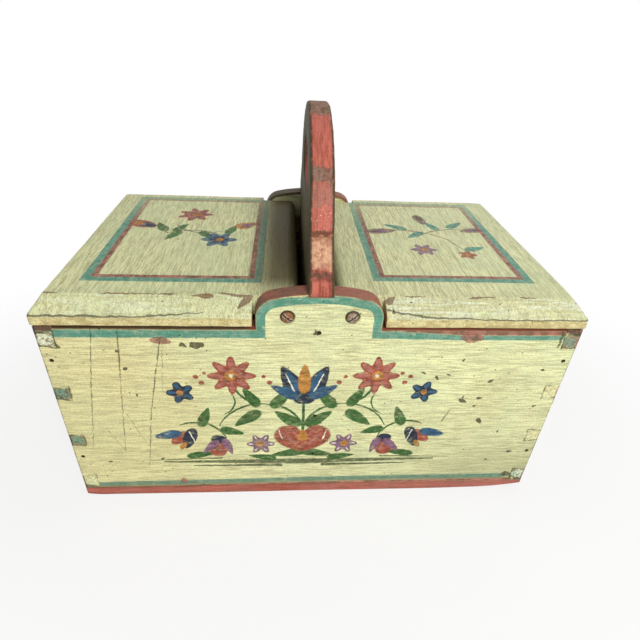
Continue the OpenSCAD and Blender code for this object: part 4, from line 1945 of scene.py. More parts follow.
@dataclass(frozen=True)
class HandleFinish:
    """Red edges, worn through or darkened in zones, and faces painted dark as shade, on the handle board.

    Attributes:
        name: Name of the material.
        zones: Lowest and highest place on the edge, its two colours and how well they cover.
    """

    name: str = "handle_red"
    zones: tuple[tuple[float, float, Pigment, Pigment, float], ...] = (
        (233.0, 245.0, Pigment.GREY_BROWN, Pigment.OLIVE, 0.85),
        (207.5, 213.5, Pigment.GREY_BROWN, Pigment.PLUM, 0.92),
        (197.0, 207.0, Pigment.GREY_BROWN, Pigment.ROSE, 0.55),
        (182.6, 185.4, Pigment.PLUM, Pigment.BARE_DARK, 0.9),
        (180.5, 182.6, Pigment.BARE, Pigment.ROSE, 0.9),
        (169.6, 181.0, Pigment.BARE_LIGHT, Pigment.BARE_PINK, 0.95),
        (165.6, 168.6, Pigment.PLUM, Pigment.UMBER, 0.85),
    )

    def build(self) -> bpy.types.Material:
        """Makes the material.

        Returns:
            The material.
        """
        size, surface = SIZES, Surface.start(self.name)
        y, z = abs(surface.y), surface.z
        arch = size.arch_radius - surface.graph.join(y, z - size.arch_z).length()
        outline = arch.least(size.foot_y - y).most(0.0)
        face = size.handle_half - abs(surface.x)
        surface.arris = outline.most(face)
        paint = AgedPaint(
            Pigment.BRICK_LIGHT, Pigment.BRICK, Pigment.BRICK_LIGHT, (0.6, 0.05, 0.05),
            grain=(1, 0, 2), chips=-0.03, nick_share=0.14, dirt=0.3, rough=0.62,
        )
        paint.coat(surface)
        self._edge(surface)
        self._faces(surface, face, outline)
        return paint.age(surface, z.fall(size.rim - 6.0, size.rim + 4.0))

    def _edge(self, surface: Surface) -> None:
        """Lays the zones of the grip's edge, worn or darkened, and pale specks.

        Args:
            surface: The painted surface.
        """
        height = surface.z + (surface.noise(7.0, 4.0, 0.7) - 0.5) * 9.0
        for low, high, first, second, share in self.zones:
            surface.lay(height.band(low, high, 1.6) * share, surface.mottle(2.6, first, second))
        specks = surface.noise(1.1, 3.0, 0.7).rise(0.6, 0.68) * height.band(186.0, 197.0, 4.0)
        surface.lay(specks * 0.7, Pigment.WHITE)

    def _faces(self, surface: Surface, face: Wire, outline: Wire) -> None:
        """Paints shade on the two faces, lighter towards the top, and darkens a strip along their arrises.

        Args:
            surface: The painted surface.
            face: Depth under the nearer face.
            outline: Distance to the edge.
        """
        graph = surface.graph
        # Painted shade: both faces are laid dark olive, less dark towards the top.
        dull = surface.noise(5.0, 4.0, squeeze=(1.0, 0.12, 0.3)).rise(0.4, 0.62)
        dark = graph.blend(dull, Pigment.OLIVE, Pigment.OLIVE_DARK)
        dark = graph.blend(surface.z.rise(185.0, 235.0) * 0.55, dark, Pigment.OLIVE_GREY)
        surface.lay(face.fall(0.5, 1.1), dark)
        rubbed = face.band(0.5, 1.5, 0.5) * outline.fall(0.8, 2.0) * surface.noise(5.0).rise(0.36, 0.5)
        surface.lay(rubbed * 0.75, Pigment.SOOT)


@dataclass(frozen=True)
class MetalFinish:
    """Old iron or steel, part rusted.

    Attributes:
        name: Name of the material.
        metal: Colour of the metal.
        rust: Colours of the rust.
        rusted: Share of rust, from 0 to 1.
        rough: Roughness of the metal.
        slotted: Whether it is a screw, with painted shade and dirt in the slot of its head.
    """

    name: str
    metal: Pigment
    rust: tuple[Pigment, Pigment]
    rusted: float
    rough: float
    slotted: bool = False

    def build(self) -> bpy.types.Material:
        """Makes the material.

        Returns:
            The material.
        """
        surface = Surface.start(self.name)
        graph = surface.graph
        grit = surface.noise(0.4, 4.0, 0.7)
        level = 0.74 - self.rusted * 0.45
        mask = (surface.noise(1.8, 5.0, 0.7) * 0.7 + grit * 0.3).rise(level - 0.06, level + 0.06)
        surface.colour = graph.blend(mask, self.metal, graph.blend(grit.rise(0.4, 0.65), *self.rust))
        # Painted shade and dirt: near black where the metal sits below the board's face, in the recess, and
        # in a screw's slot.
        sunk = (abs(surface.y) - SIZES.half_depth).fall(0.1, 0.75)
        if self.slotted:
            turn = math.radians(SIZES.slot_turn)
            x, z = abs(surface.x) - SIZES.pivot[0], surface.z - SIZES.pivot[1]
            slot = abs(z * math.cos(turn) - x * math.sin(turn))
            surface.lay(slot.band(0.5, 1.1, 0.3) * 0.5, Pigment.STEEL)
            sunk = sunk.most(slot.fall(0.45, 0.6))
        surface.lay(sunk * 0.8, Pigment.SOOT)
        return surface.close(self.rough + mask * 0.35, grit * 0.5 + mask * 0.5, 0.1, 1.0 - mask)


# Sub-assemblies


@dataclass
class NailHoles:
    """The holes that the nails fill, as cutters."""

    sizes: Sizes

    def cutter(self, centre: Triple, axis: Triple) -> Shell:
        """One nail's hole, from outside a board inwards."""
        radius, length = self.sizes.nail_bore, self.sizes.nail_length
        profile = [(0.0, -1.0), (radius, -1.0), (radius, length), (0.0, length)]
        return lathe(profile, centre, axis, 20)

    def along_depth(self, side: int) -> list[Shell]:
        """The holes in from the front, side -1, or the back, side 1.

        Args:
            side: -1 or 1.

        Returns:
            The cutters: three for the divider, then four for the corners.
        """
        size = self.sizes
        low = size.base + size.low_nail_rise
        places = [(0.0, z) for z in (size.rim - size.divider_nail_drop, (size.rim + size.base) / 2, low)]
        corner = size.half_length - size.end / 2
        places += product((-corner, corner), (size.rim - size.corner_nail_drop, low))
        return [self.cutter((x, side * size.half_depth, z), (0, -side, 0)) for x, z in places]

    def upwards(self) -> list[Shell]:
        """The holes up through the bottom board.

        Returns:
            The cutters.
        """
        size = self.sizes
        reach = size.half_length - size.bottom_nail_inset
        along, end = size.half_depth - size.wall / 2, size.half_length - size.end / 2
        places = list(product(np.linspace(-reach, reach, size.bottom_nail_count), (-along, along)))
        places += product((-end, 0.0, end), (-size.end_nail_spread, size.end_nail_spread))
        return [self.cutter((x, y, 0.0), (0, 0, 1)) for x, y in places]


@dataclass
class Walls:
    """The front, back and end boards, joined with narrow dovetail pins.

    Attributes:
        sizes: Sizes of the carrier.
        arris: Radius of the worn arrises.
        low_share: Share of that radius along the bottom.
    """

    sizes: Sizes
    arris: float = 0.9
    low_share: float = 0.35

    def _tab(self) -> np.ndarray:
        """Outline of the tab from its right foot over the notch to its left foot.

        Returns:
            The points, in X and Z.
        """
        size = self.sizes
        shoulder_x, shoulder_z = size.tab_shoulder
        meet = math.degrees(math.atan2(shoulder_z - size.crown_z, shoulder_x))
        notch = size.handle_half + size.joint_gap
        drop = math.degrees(math.acos(notch / size.crown_radius))
        right = np.concatenate([
            [[size.tab_half, size.rim]],
            arc((shoulder_x, shoulder_z), size.shoulder_radius, 0, meet, 14),
            arc((0.0, size.crown_z), size.crown_radius, meet, drop, 12)[1:],
            [[notch, size.notch_z]],
        ])
        return np.concatenate([right, right[::-1] * [-1, 1]])

    def _sockets(self) -> np.ndarray:
        """Right end of a long board from the bottom up, with a socket for each pin.

        Returns:
            The points, in X and Z.
        """
        size = self.sizes
        points = []
        for index in range(size.pin_count):
            low_end, high_end = index == 0, index == size.pin_count - 1
            middle, half = size.pin_z(index), size.pin_height / 2 + size.joint_gap
            inner = size.inner_x - size.joint_gap
            low = size.base if low_end else middle - half
            high = size.rim if high_end else middle + half
            points += [] if low_end else [(size.half_length, low)]
            points += [(inner, low if low_end else low - size.pin_flare)]
            points += [(inner, high if high_end else high + size.pin_flare)]
            points += [] if high_end else [(size.half_length, high)]
        return np.array(points)

    def long_board(self, side: int, name: str, seed: int) -> bpy.types.Object:
        """Builds the front board, side -1, or the back board, side 1.

        Args:
            side: -1 or 1.
            name: Name of the piece.
            seed: Picks the wear.

        Returns:
            The board, with its holes.
        """
        size = self.sizes
        right = self._sockets()
        outline = np.concatenate([right, self._tab(), right[::-1] * [-1, 1]])
        following = np.roll(outline, -1, 0)
        in_joint = np.minimum(np.abs(outline[:, 0]), np.abs(following[:, 0])) < size.half_length - NEAR
        low = np.minimum(outline[:, 1], following[:, 1]) < size.rim - NEAR
        lowest = np.maximum(outline[:, 1], following[:, 1]) < size.base + NEAR
        weight = np.where(lowest, self.low_share, np.where(in_joint & low, 0.0, 1.0))
        faces = sorted((side * size.half_depth, side * size.inner_y))
        carried = CarriedBoard(outline, weight, tuple(faces), self.arris, seed)
        board = carried.shell(facing_front).build(name)
        bores = [self._pivot_bore(x_side, side) for x_side in (-1, 1)]
        carve(board, NailHoles(size).along_depth(side) + bores)
        return board

    def _pivot_bore(self, x_side: int, y_side: int) -> Shell:
        """The recess and the bore of one pivot screw.

        Args:
            x_side: -1 for the left screw, 1 for the right.
            y_side: -1 for the front, 1 for the back.

        Returns:
            The cutter.
        """
        size = self.sizes
        across, up = size.pivot
        wide, narrow = size.recess_radius, size.shank_bore
        profile = [
            (0.0, -2.0), (wide + 0.5, -2.0), (wide + 0.3, 0.0), (wide, 0.25), (wide, size.recess_depth),
            (narrow, size.recess_depth), (narrow, size.wall + 2.0), (0.0, size.wall + 2.0),
        ]
        return lathe(profile, (x_side * across, y_side * size.half_depth, up), (0, -y_side, 0))

    def end_board(self, side: int, name: str, seed: int) -> bpy.types.Object:
        """Builds the left end board, side -1, or the right one, side 1.

        Args:
            side: -1 or 1.
            name: Name of the piece.
            seed: Picks the wear.

        Returns:
            The board, with its holes.
        """
        size = self.sizes
        core = size.inner_y - size.joint_gap

        def outline(flare: float) -> np.ndarray:
            """The outline in Y and Z, with pins that are flare higher on each side.

            Args:
                flare: Extra half height of the pins.

            Returns:
                The points.
            """
            points = []
            for index in range(size.pin_count):
                low_end, high_end = index == 0, index == size.pin_count - 1
                middle, half = size.pin_z(index), size.pin_height / 2 + flare
                low = size.base if low_end else middle - half
                high = size.end_top if high_end else middle + half
                points += [] if low_end else [(core, low)]
                points += [(size.half_depth, low), (size.half_depth, high)]
                points += [] if high_end else [(core, high)]
            right = np.array(points)
            return np.concatenate([right, right[::-1] * [-1, 1]])

        outer, inner = outline(0.0), outline(size.pin_flare)
        following = np.roll(outer, -1, 0)
        ends = np.minimum(np.abs(outer[:, 0]), np.abs(following[:, 0])) > core + NEAR
        flat = np.abs(outer[:, 1] - following[:, 1]) < NEAR
        top = flat & (outer[:, 1] > size.end_top - NEAR)
        weight = np.where((ends & ~flat) | top, 1.0, 0.0)
        near, far = (outer, inner) if side < 0 else (inner, outer)
        faces = sorted((side * size.half_length, side * size.inner_x))
        carried = CarriedBoard(near, weight, tuple(faces), self.arris, seed, far=far)
        board = carried.shell(facing_side).build(name)
        holes = NailHoles(size)
        carve(board, holes.along_depth(-1) + holes.along_depth(1) + holes.upwards())
        return board

    def build(self) -> None:
        """Builds and dresses the four boards."""
        left_patches = (
            (1, Pigment.TEAL_WORN, Pigment.MOSS), (2, Pigment.TEAL_WORN, Pigment.UMBER),
            (3, Pigment.CHALK, Pigment.GREY_BROWN),
        )
        right_patches = (
            (0, Pigment.CHALK, Pigment.TEAL_WORN), (3, Pigment.GREY_BROWN, Pigment.TEAL_WORN),
        )
        for make, side, which, seed, finish in (
            (self.long_board, -1, "front", 11, WallFinish("front_paint", -1, FRONT_SPRAY, True)),
            (self.long_board, 1, "back", 23, WallFinish("back_paint", 1)),
            (self.end_board, -1, "left_end", 37, EndFinish("left_end_paint", left_patches, Pigment.UMBER)),
            (self.end_board, 1, "right_end", 41, EndFinish("right_end_paint", right_patches, Pigment.ROSE)),
        ):
            board = make(side, which + "_wall", seed)
            dress(board, which + "_board", "box", "wall_paint", finish.build())


@dataclass
class Base:
    """The bottom board, its lower edge worn away unevenly.

    Attributes:
        sizes: Sizes of the carrier.
        arris: Radius of the lower edges.
    """

    sizes: Sizes
    arris: float = 0.7

    def build(self) -> None:
        """Builds and dresses the board."""
        size, radius = self.sizes, self.arris
        x = self._stations(size.half_length, 2.5)
        y = self._stations(size.half_depth, 2.5)
        grid_x, grid_y = np.meshgrid(x, y, indexing="ij")
        inside = np.minimum(size.half_length - np.abs(grid_x), size.half_depth - np.abs(grid_y))
        plan_x, plan_y = self._rounded(grid_x, grid_y)
        spot = np.stack([grid_x, grid_y, np.zeros_like(grid_x)], -1)
        front = np.exp(-(grid_y + size.half_depth) / 16.0)
        right = np.clip((grid_x - 60.0) / 90.0, 0, 1) ** 2 * 1.6
        right += np.clip((grid_x - 116.0) / 34.0, 0, 1) ** 2 * 2.8
        left = np.clip((-grid_x - 138.0) / 12.0, 0, 1) ** 2 * 1.6
        uneven = (smooth_noise(spot, 22.0, 3) + 1.0) * 0.16 * np.exp(-inside / 9.0)
        lower = round_drop(inside, radius) + (right + left) * front + uneven
        upper = size.base - round_drop(inside, 0.4) - 0.02
        lower = np.minimum(lower, upper - 0.8)
        faces = (np.stack([plan_x, plan_y, height], -1) for height in (upper, lower))
        board = plate(*faces, (0, 0, len(y) - 1), 4).build("base_board")
        carve(board, NailHoles(size).upwards())
        dress(board, "bottom_board", "box", "base_paint", BaseFinish().build())

    def _stations(self, half: float, step: float) -> np.ndarray:
        """Grid places from -half to half, crowded at the edges."""
        edge = np.concatenate([quarter(-half, 0.4, 3), quarter(-half, self.arris, 6)])
        middle = steps(-half + self.arris, half - self.arris, step)
        return np.unique(np.round(np.concatenate([edge, middle, -edge]), 4))

    def _rounded(self, x: np.ndarray, y: np.ndarray) -> tuple[np.ndarray, np.ndarray]:
        """Rounds the four corners of the plan.

        Args:
            x: First coordinates.
            y: Second coordinates.

        Returns:
            The new coordinates.
        """
        size = self.sizes
        for side_x, side_y in product((-1, 1), repeat=2):
            x, y = rounded_corner(x, y, (side_x * size.half_length, side_y * size.half_depth), self.arris)
        return x, y


def rounded_corner(
    x: np.ndarray, y: np.ndarray, corner: Pair, radius: float,
) -> tuple[np.ndarray, np.ndarray]:
    """Pulls the points near a rectangle's corner in, so that its edge follows an arc.

    With a and b the shares of the radius by which a point passes the arc's centre, the point
    moves towards that centre by the factor max(a, b) / hypot(a, b).

    Args:
        x: First coordinates.
        y: Second coordinates.
        corner: The corner, whose signs say which way it points.
        radius: Radius of the arc.

    Returns:
        The new coordinates.
    """
    sign_x, sign_y = np.sign(corner)
    centre_x, centre_y = corner[0] - sign_x * radius, corner[1] - sign_y * radius
    a = np.clip((x - centre_x) * sign_x / radius, 0, None)
    b = np.clip((y - centre_y) * sign_y / radius, 0, None)
    both = (a > 0) & (b > 0)
    factor = np.where(both, np.maximum(a, b) / np.maximum(np.hypot(a, b), 1e-9), 1.0)
    return (
        np.where(both, centre_x + sign_x * radius * a * factor, x),
        np.where(both, centre_y + sign_y * radius * b * factor, y),
    )


@dataclass
class Lid:
    """One bevelled lid with a round-nosed tongue between the tabs.

    Attributes:
        sizes: Sizes of the carrier.
        side: -1 for the left lid, 1 for the right.
        seed: Picks the wear.
        corners: Radii of the outer front and outer back corners in plan.
        dents: Worn places on the top, as x from the middle, y, radius and depth.
        arris: Radius of the edges.
    """

    sizes: Sizes
    side: int
    seed: int
    corners: Pair
    dents: tuple[tuple[float, float, float, float], ...] = ()
    arris: float = 0.8

    def _stations(self) -> tuple[np.ndarray, np.ndarray]:
        """Grid places along X and Y, crowded at the nose, the edges and the bevels.

        Returns:
            The places along X, and those along Y.
        """
        size, r = self.sizes, self.arris
        nose_x, _ = size.pivot
        nose = nose_x - size.lid_thickness / 2 * np.cos(np.linspace(0, math.pi / 2, 9))
        bevel_x = size.lid_end - size.end_bevel
        x = [
            nose, steps(nose_x, size.shoulder_x, 2.8), quarter(size.shoulder_x, r),
            steps(size.shoulder_x + r, bevel_x - 2.0, 2.8), steps(bevel_x - 2.0, bevel_x + 1.5, 0.5),
            steps(bevel_x + 1.5, size.lid_end - r, 1.0), 2 * size.lid_end - quarter(size.lid_end, r),
        ]
        front, back = -size.half_depth + size.front_bevel, size.half_depth - size.back_bevel
        y = [
            quarter(-size.half_depth, r), steps(-size.half_depth + r, -size.tongue_y, 1.2),
            quarter(-size.tongue_y, r), steps(-size.tongue_y + r, front + 3.0, 0.7),
            steps(front + 3.0, size.tongue_y - r, 2.8), -quarter(-size.tongue_y, r),
            steps(size.tongue_y, back - 1.5, 1.0), steps(back - 1.5, back + 1.5, 0.5),
            steps(back + 1.5, size.half_depth - r, 1.0), -quarter(-size.half_depth, r),
        ]
        return tuple(np.unique(np.round(np.concatenate(part), 4)) for part in (x, y))

    def _heights(self, x: np.ndarray, y: np.ndarray) -> tuple[np.ndarray, np.ndarray]:
        """Upper and lower heights over the grid.

        The upper side is the smooth minimum of the flat top and the three bevel planes, lowered
        by the edge's quarter round. Over the nose both sides follow a circle about the pivot.

        Args:
            x: First coordinates of the grid.
            y: Second coordinates.

        Returns:
            The upper heights, and the lower ones.
        """
        size = self.sizes
        rise = size.lid_high - size.strip_top
        in_tongue = x < size.shoulder_x
        wide = np.minimum(size.half_depth - np.abs(y), size.lid_end - x)
        wide = np.where(np.abs(y) > size.tongue_y, np.minimum(wide, x - size.shoulder_x), wide)
        inside = np.maximum(np.where(in_tongue, size.tongue_y - np.abs(y), wide), 0)
        upper = np.full_like(x, size.lid_high)
        for run, across in (
            (size.front_bevel, size.half_depth + y), (size.back_bevel, size.half_depth - y),
            (size.end_bevel, size.lid_end - x),
        ):
            upper = smooth_min(upper, size.strip_top + across * (rise / run), 0.5)
        spot = np.stack([x, y, np.zeros_like(x)], -1)
        upper = upper + smooth_noise(spot, 30.0, self.seed) * 0.18
        upper = upper + smooth_noise(spot, 7.0, self.seed + 1) * 0.06
        for dent_x, dent_y, radius, depth in self.dents:
            upper = upper - depth * np.exp(-((x - dent_x) ** 2 + (y - dent_y) ** 2) / radius**2)
        edge = self.arris * (1 + 0.3 * smooth_noise(spot, 8.0, self.seed + 2))
        upper = np.minimum(upper, size.lid_high) - round_drop(inside, edge)
        lower = size.lid_low + round_drop(inside, edge * 0.7)
        nose_x, nose_z = size.pivot
        half = size.lid_thickness / 2
        swell = np.sqrt(np.clip(half**2 - np.clip(nose_x - x, 0, half) ** 2, 0, None))
        over_nose = x < nose_x
        upper = np.where(over_nose, np.minimum(upper, nose_z + swell), upper)
        lower = np.where(over_nose, np.maximum(lower, nose_z - swell), lower)
        middle = (upper + lower) / 2
        return np.maximum(upper, middle), np.minimum(lower, middle)

    def build(self, name: str, node: str, body: str, finish: LidFinish) -> None:
        """Builds and dresses the lid.

        Args:
            name: Name of the piece.
            node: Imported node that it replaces.
            body: Body that it moves with.
            finish: Its finish.
        """
        size = self.sizes
        stations_x, stations_y = self._stations()
        x, y = np.meshgrid(stations_x, stations_y, indexing="ij")
        upper, lower = self._heights(x, y)
        plan_x, plan_y = x, y
        for sign, radius in zip((-1, 1), self.corners):
            plan_x, plan_y = rounded_corner(plan_x, plan_y, (size.lid_end, sign * size.half_depth), radius)
        spot = np.stack([x, y, np.zeros_like(x)], -1)
        pull = np.abs(smooth_noise(spot, 14.0, self.seed + 3)) * 0.45
        pull = pull * np.clip((x - size.shoulder_x) / 12, 0, 1)
        plan_x = plan_x - pull * np.exp((x - size.lid_end) / 5.0)
        plan_y = plan_y - pull * np.exp((np.abs(y) - size.half_depth) / 5.0) * np.sign(y)
        notch = tuple(
            int(np.searchsorted(places, value - 1e-3))
            for places, value in (
                (stations_x, size.shoulder_x), (stations_y, -size.tongue_y), (stations_y, size.tongue_y),
            )
        )
        faces = (np.stack([plan_x * self.side, plan_y, height], -1) for height in (upper, lower))
        lid = plate(*faces, notch, 4).build(name)
        across, up = size.pivot
        radius, reach = size.thread_bore, size.thread_reach
        profile = [(0.0, 0.0), (radius, 0.0), (radius, reach), (0.0, reach)]
        ends = [((self.side * across, sign * size.half_depth, up), (0, -sign, 0)) for sign in (-1, 1)]
        carve(lid, [lathe(profile, centre, axis, 20) for centre, axis in ends])
        dress(lid, node, body, "lid_paint", finish.build())


@dataclass
class Handle:
    """The board that stands between the compartments and ends in an arched grip.

    Attributes:
        sizes: Sizes of the carrier.
        arris: Radius of the worn edges.
        foot_round: Radius of the feet's worn corners.
    """

    sizes: Sizes
    arris: float = 2.0
    foot_round: float = 2.2

    def _outline(self) -> np.ndarray:
        """Outline in Y and Z from the lower right corner anticlockwise.

        Returns:
            The points.
        """
        size = self.sizes
        divider = size.inner_y - size.joint_gap
        meet_z = size.foot_top + size.shoulder_rise
        meet = math.degrees(math.asin((meet_z - size.arch_z) / size.arch_radius))
        ledge = size.foot_y - size.foot_ledge
        worn = self.foot_round
        right = np.concatenate([
            [[divider, size.base], [divider, size.notch_z]],
            arc((size.foot_y - worn, size.notch_z + worn), worn, -90, 0, 6),
            arc((size.foot_y - worn, size.foot_top - worn), worn, 0, 90, 8), [[ledge, size.foot_top]],
            arc((0.0, size.arch_z), size.arch_radius, meet, 90, 60),
        ])
        return np.concatenate([right, right[-2::-1] * [-1, 1]])

    def _grooved(self, outline: np.ndarray) -> np.ndarray:
        """Presses the groove in where the slope meets the arch: depth exp(-(d / width)^2).

        Args:
            outline: Points in Y and Z.

        Returns:
            The pressed points.
        """
        size = self.sizes
        meet_z = size.foot_top + size.shoulder_rise
        meet_y = math.sqrt(size.arch_radius**2 - (meet_z - size.arch_z) ** 2)
        away = np.hypot(np.abs(outline[:, 0]) - meet_y, outline[:, 1] - meet_z)
        press = size.shoulder_groove * np.exp(-((away / 1.3) ** 2))
        toward = np.stack([np.zeros(len(outline)), np.full(len(outline), size.arch_z)], 1) - outline
        toward /= np.linalg.norm(toward, axis=1)[:, None]
        return outline + toward * press[:, None]

    def _hole(self) -> Shell:
        """The hand hole as a cutter, flared where it meets the faces.

        Its stadium outline grows by f - sqrt(f^2 - t^2), where f is the flare's radius and t
        how far the place is past the start of the flare.

        Returns:
            The cutter.
        """
        size, flare = self.sizes, 3.0
        half = (size.hole_width - size.hole_height) / 2
        radius = size.hole_height / 2
        place = np.concatenate([[-size.handle_half - 2.0], quarter(-size.handle_half, flare, 6)])
        place = np.concatenate([place, -place[::-1]])
        past = np.clip(np.abs(place) - (size.handle_half - flare), 0, flare)
        grow = flare - np.sqrt(flare**2 - past**2)
        rings = []
        for depth, more in zip(place, np.where(np.abs(place) > size.handle_half, flare + 1.0, grow)):
            ends = ((half, -90, 90), (-half, 90, 270))
            loop = np.concatenate([arc((y, size.hole_z), radius + more, a, b, 20) for y, a, b in ends])
            rings.append(facing_side(loop[:, 0], loop[:, 1], np.full(len(loop), depth)))
        grid = np.stack(rings)
        shell = Shell()
        shell.add_grid(np.concatenate([grid, grid[:, :1]], 1))
        shell.add_cap(grid[0])
        shell.add_cap(grid[-1])
        return shell

    def build(self) -> None:
        """Builds and dresses the board."""
        size = self.sizes
        plain = self._outline()
        outline, _ = refined(plain, np.ones(len(plain)), 0.8)
        outline = self._grooved(outline)
        above = np.minimum(outline[:, 1], np.roll(outline, -1, 0)[:, 1])
        levels = [size.rim, size.foot_top, size.handle_top - 40.0, size.handle_top]
        weight = np.interp(above, levels, [0.2, 0.45, 0.8, 1.5])
        board = CarriedBoard(
            outline, weight, (-size.handle_half, size.handle_half), self.arris, 71, step=1.5, rings=6,
        ).shell(facing_side).build("handle")
        holes = NailHoles(size)
        divider = [hole for side in (-1, 1) for hole in holes.along_depth(side)[:3]]
        carve(board, [self._hole()] + divider + holes.upwards())
        dress(board, "handle_board", "box", "handle_paint", HandleFinish().build())


@dataclass
class Fasteners:
    """The pivot screws and nails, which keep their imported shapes."""

    def build(self) -> None:
        """Gives each fastener its metal."""
        finishes = (
            MetalFinish("screw_bright", Pigment.STEEL, (Pigment.BRONZE, Pigment.UMBER), 0.62, 0.3, True),
            MetalFinish("screw_rusty", Pigment.BRONZE, (Pigment.RUST, Pigment.BARE_DARK), 0.85, 0.42, True),
            MetalFinish("nail_dark", Pigment.IRON, (Pigment.UMBER, Pigment.SOOT), 0.8, 0.6),
        )
        made = {finish.name: finish.build() for finish in finishes}
        for node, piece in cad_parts.items():
            if not node.endswith(("_screw", "_nails")):
                continue
            name = "nail_dark"
            if node.endswith("_screw"):
                name = "screw_bright" if node.endswith("right_screw") else "screw_rusty"
            piece.data.materials.clear()
            piece.data.materials.append(made[name])
            LOG.info("%s: %s", node, name)


@dataclass(frozen=True)
class Lamp:
    """A square soft lamp that looks at the carrier.

    Attributes:
        name: Its name.
        turn: Direction round the carrier in degrees, 0 at the front and 90 at the right.
        height: Angle above the floor, in degrees.
        away: Distance, in millimetres.
        size: Its side, in millimetres.
        power: Its power.
        tint: Its colour.
    """

    name: str
    turn: float
    height: float
    away: float
    size: float
    power: float
    tint: Triple = (1.0, 1.0, 1.0)

    def build(self) -> None:
        """Makes the lamp, which looks at the middle of the carrier."""
        lamp = bpy.data.lights.new(self.name, "AREA")
        lamp.energy, lamp.size, lamp.color = self.power, self.size * MM, self.tint
        turn, height = math.radians(self.turn), math.radians(self.height)
        flat = math.cos(height)
        way = Vector((math.sin(turn) * flat, -math.cos(turn) * flat, math.sin(height)))
        piece = bpy.data.objects.new(self.name, lamp)
        piece.location = (way * self.away + Vector((0.0, 0.0, 100.0))) * MM
        piece.rotation_euler = way.to_track_quat("Z", "Y").to_euler()
        bpy.context.scene.collection.objects.link(piece)


@dataclass
class Studio:
    """The pale floor, the soft lamps and the camera of the photograph.

    Attributes:
        camera_at: Place of the camera, in millimetres.
        yaw: Turn of the view to the right, in degrees.
        pitch: Slope of the view downwards, in degrees.
        roll: Turn of the picture, in degrees.
        lens: Focal length for a sensor 36 wide.
        lamps: The lamps.
        ambient: Strength of the white world where it only lights.
    """

    camera_at: Triple = (-19.27, -302.29, 280.91)
    yaw: float = 5.15
    pitch: float = 32.926
    roll: float = 3.239
    lens: float = 26.792
    lamps: tuple[Lamp, ...] = (
        Lamp("key", 16.0, 36.0, 1300.0, 420.0, 13.0, (1.0, 0.98, 0.95)),
        Lamp("top", 40.0, 80.0, 1300.0, 700.0, 1.0),
        Lamp("back", 150.0, 30.0, 1400.0, 700.0, 2.5),
    )
    ambient: float = 0.24

    def build(self) -> None:
        """Makes the floor, the lamps, the world and the camera."""
        self._floor()
        for lamp in self.lamps:
            lamp.build()
        self._world()
        self._camera()

    def _seen(self, graph: Graph) -> Wire:
        """1 where the camera sees a thing itself, or in metal or glass, and 0 where it only lights."""
        path = graph.node("LightPath")
        rays = [graph.wire(path.outputs[f"Is {kind} Ray"]) for kind in ("Camera", "Glossy", "Transmission")]
        return functools.reduce(Wire.most, rays)

    def _floor(self) -> None:
        """A pale floor that takes the shadow near the carrier and shows white away from it."""
        shell = Shell()
        x, y = np.meshgrid([-4000.0, 4000.0], [-4000.0, 4000.0], indexing="ij")
        shell.add_grid(np.stack([x, y, np.full_like(x, -0.2)], -1))
        floor = shell.build("floor")
        surface = Surface.start("floor_white")
        graph = surface.graph
        far = (surface.place * (1.0, 1.25, 1.0)).length().rise(180.0, 420.0)
        diffuse = graph.fetch("BsdfDiffuse", {"Color": (0.82, 0.82, 0.82, 1.0)})
        glow = graph.fetch("Emission", {"Color": (1.0, 1.0, 1.0, 1.0), "Strength": 1.0})
        shown = graph.fetch("MixShader", {0: self._seen(graph) * (0.76 + far * 0.24), 1: diffuse, 2: glow})
        graph.node("OutputMaterial", {"Surface": shown})
        floor.data.materials.append(surface.material)
        floor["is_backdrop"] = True

    def _world(self) -> None:
        """White where it is seen, and dimmer where it lights the carrier."""
        world = bpy.data.worlds.new("studio")
        world.use_nodes = True
        world.node_tree.nodes.clear()
        graph = Graph(world.node_tree)
        strength = self.ambient + self._seen(graph) * (1.0 - self.ambient)
        background = graph.fetch("Background", {"Color": (1.0, 1.0, 1.0, 1.0), "Strength": strength})
        graph.node("OutputWorld", {"Surface": background})
        bpy.context.scene.world = world

    def _camera(self) -> None:
        """Puts the camera where the photograph was taken."""
        yaw, pitch, roll = (math.radians(a) for a in (self.yaw, self.pitch, self.roll))
        ahead = Vector((math.sin(yaw) * math.cos(pitch), math.cos(yaw) * math.cos(pitch), -math.sin(pitch)))
        right = Vector((math.cos(yaw), -math.sin(yaw), 0.0))
        up = right.cross(ahead)
        right, up = (
            right * math.cos(roll) + up * math.sin(roll), up * math.cos(roll) - right * math.sin(roll),
        )
        data = bpy.data.cameras.new("camera")
        data.lens = self.lens
        data.sensor_width = 36.0
        data.clip_start = 0.01
        camera = bpy.data.objects.new("camera", data)
        turned = Matrix((right, up, -ahead)).transposed().to_4x4()
        turned.translation = Vector(self.camera_at) * MM
        camera.matrix_world = turned
        bpy.context.scene.collection.objects.link(camera)
        bpy.context.scene.camera = camera


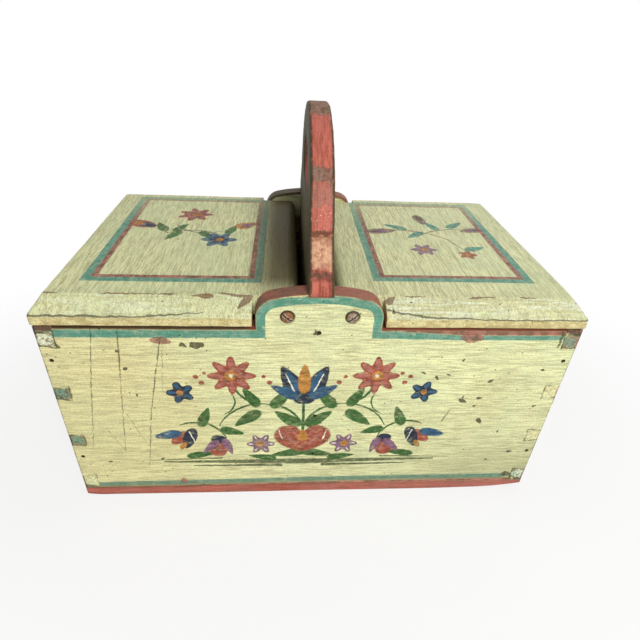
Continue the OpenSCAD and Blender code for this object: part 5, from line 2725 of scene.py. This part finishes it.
def main() -> None:
    """Builds the studio and every sub-assembly in order, and logs the two boxes."""
    logging.basicConfig(level=logging.INFO, format="%(name)s: %(message)s")
    bpy.context.scene.view_settings.view_transform = "Standard"
    Studio().build()
    Walls(SIZES).build()
    Base(SIZES).build()
    left = LidFinish(
        "left_lid_paint", -1, LEFT_SPRIG, 0.5, 0.97,
        bared=(
            Petal(-40.5, -79.5, -130.0, 5.5, 1.9, 0.4), Petal(-47.0, -75.8, 176.0, 9.0, 1.1),
            Petal(-63.0, -77.4, 180.0, 6.0, 1.3), Petal(-81.5, -76.5, 0.0, 5.5, 0.5),
            Petal(-101.0, -76.5, 0.0, 17.0, 0.45), Petal(-143.0, -76.6, 0.0, 4.5, 0.7),
        ),
        cracks=(
            Stroke((-151.0, 143.2), (-95.0, 143.0), 0.45, 0.3),
            Stroke((-95.0, 143.0), (-62.0, 144.6), 0.35, 0.12),
        ),
        frame_x=(36.4, 127.6),
        frame_y=(-58.6, 72.5),
    )
    right = LidFinish(
        "right_lid_paint", 1, RIGHT_SPRIG, 0.85, 0.14,
        bared=(
            Petal(39.5, -78.5, 40.0, 3.0, 1.8), Petal(40.5, -84.5, 80.0, 1.6, 0.8),
            Petal(54.0, -76.8, 0.0, 6.0, 0.5), Petal(92.0, -76.8, 4.0, 8.0, 0.7),
            Petal(119.0, -76.6, 0.0, 5.0, 0.5),
        ),
        cracks=(
            Stroke((37.0, 145.6), (60.0, 143.6), 0.3, 0.3),
            Stroke((60.0, 143.6), (104.0, 142.6), 0.3, 0.35),
            Stroke((104.0, 142.6), (151.0, 142.8), 0.35, 0.3),
        ),
        frame_x=(37.2, 126.2),
        frame_y=(-54.6, 72.5),
    )
    left_dents = ((122.0, -88.0, 4.0, 0.7), (39.0, -78.0, 6.0, 1.3), (46.0, -77.5, 4.0, 0.8))
    right_dents = ((40.0, -79.0, 4.0, 0.7), (142.0, -78.0, 5.0, 0.6))
    Lid(SIZES, -1, 101, (2.0, 2.5), left_dents).build("lid_left_board", "left_lid", "lid_left", left)
    Lid(SIZES, 1, 131, (2.0, 9.0), right_dents).build("lid_right_board", "right_lid", "lid_right", right)
    Handle(SIZES).build()
    Fasteners().build()
    boxes = {"cad": [list(c) for c in CAD_BOX], "visual": [list(c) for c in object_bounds()]}
    LOG.info("boxes: %s", boxes)


if __name__ == "__main__":
    main()
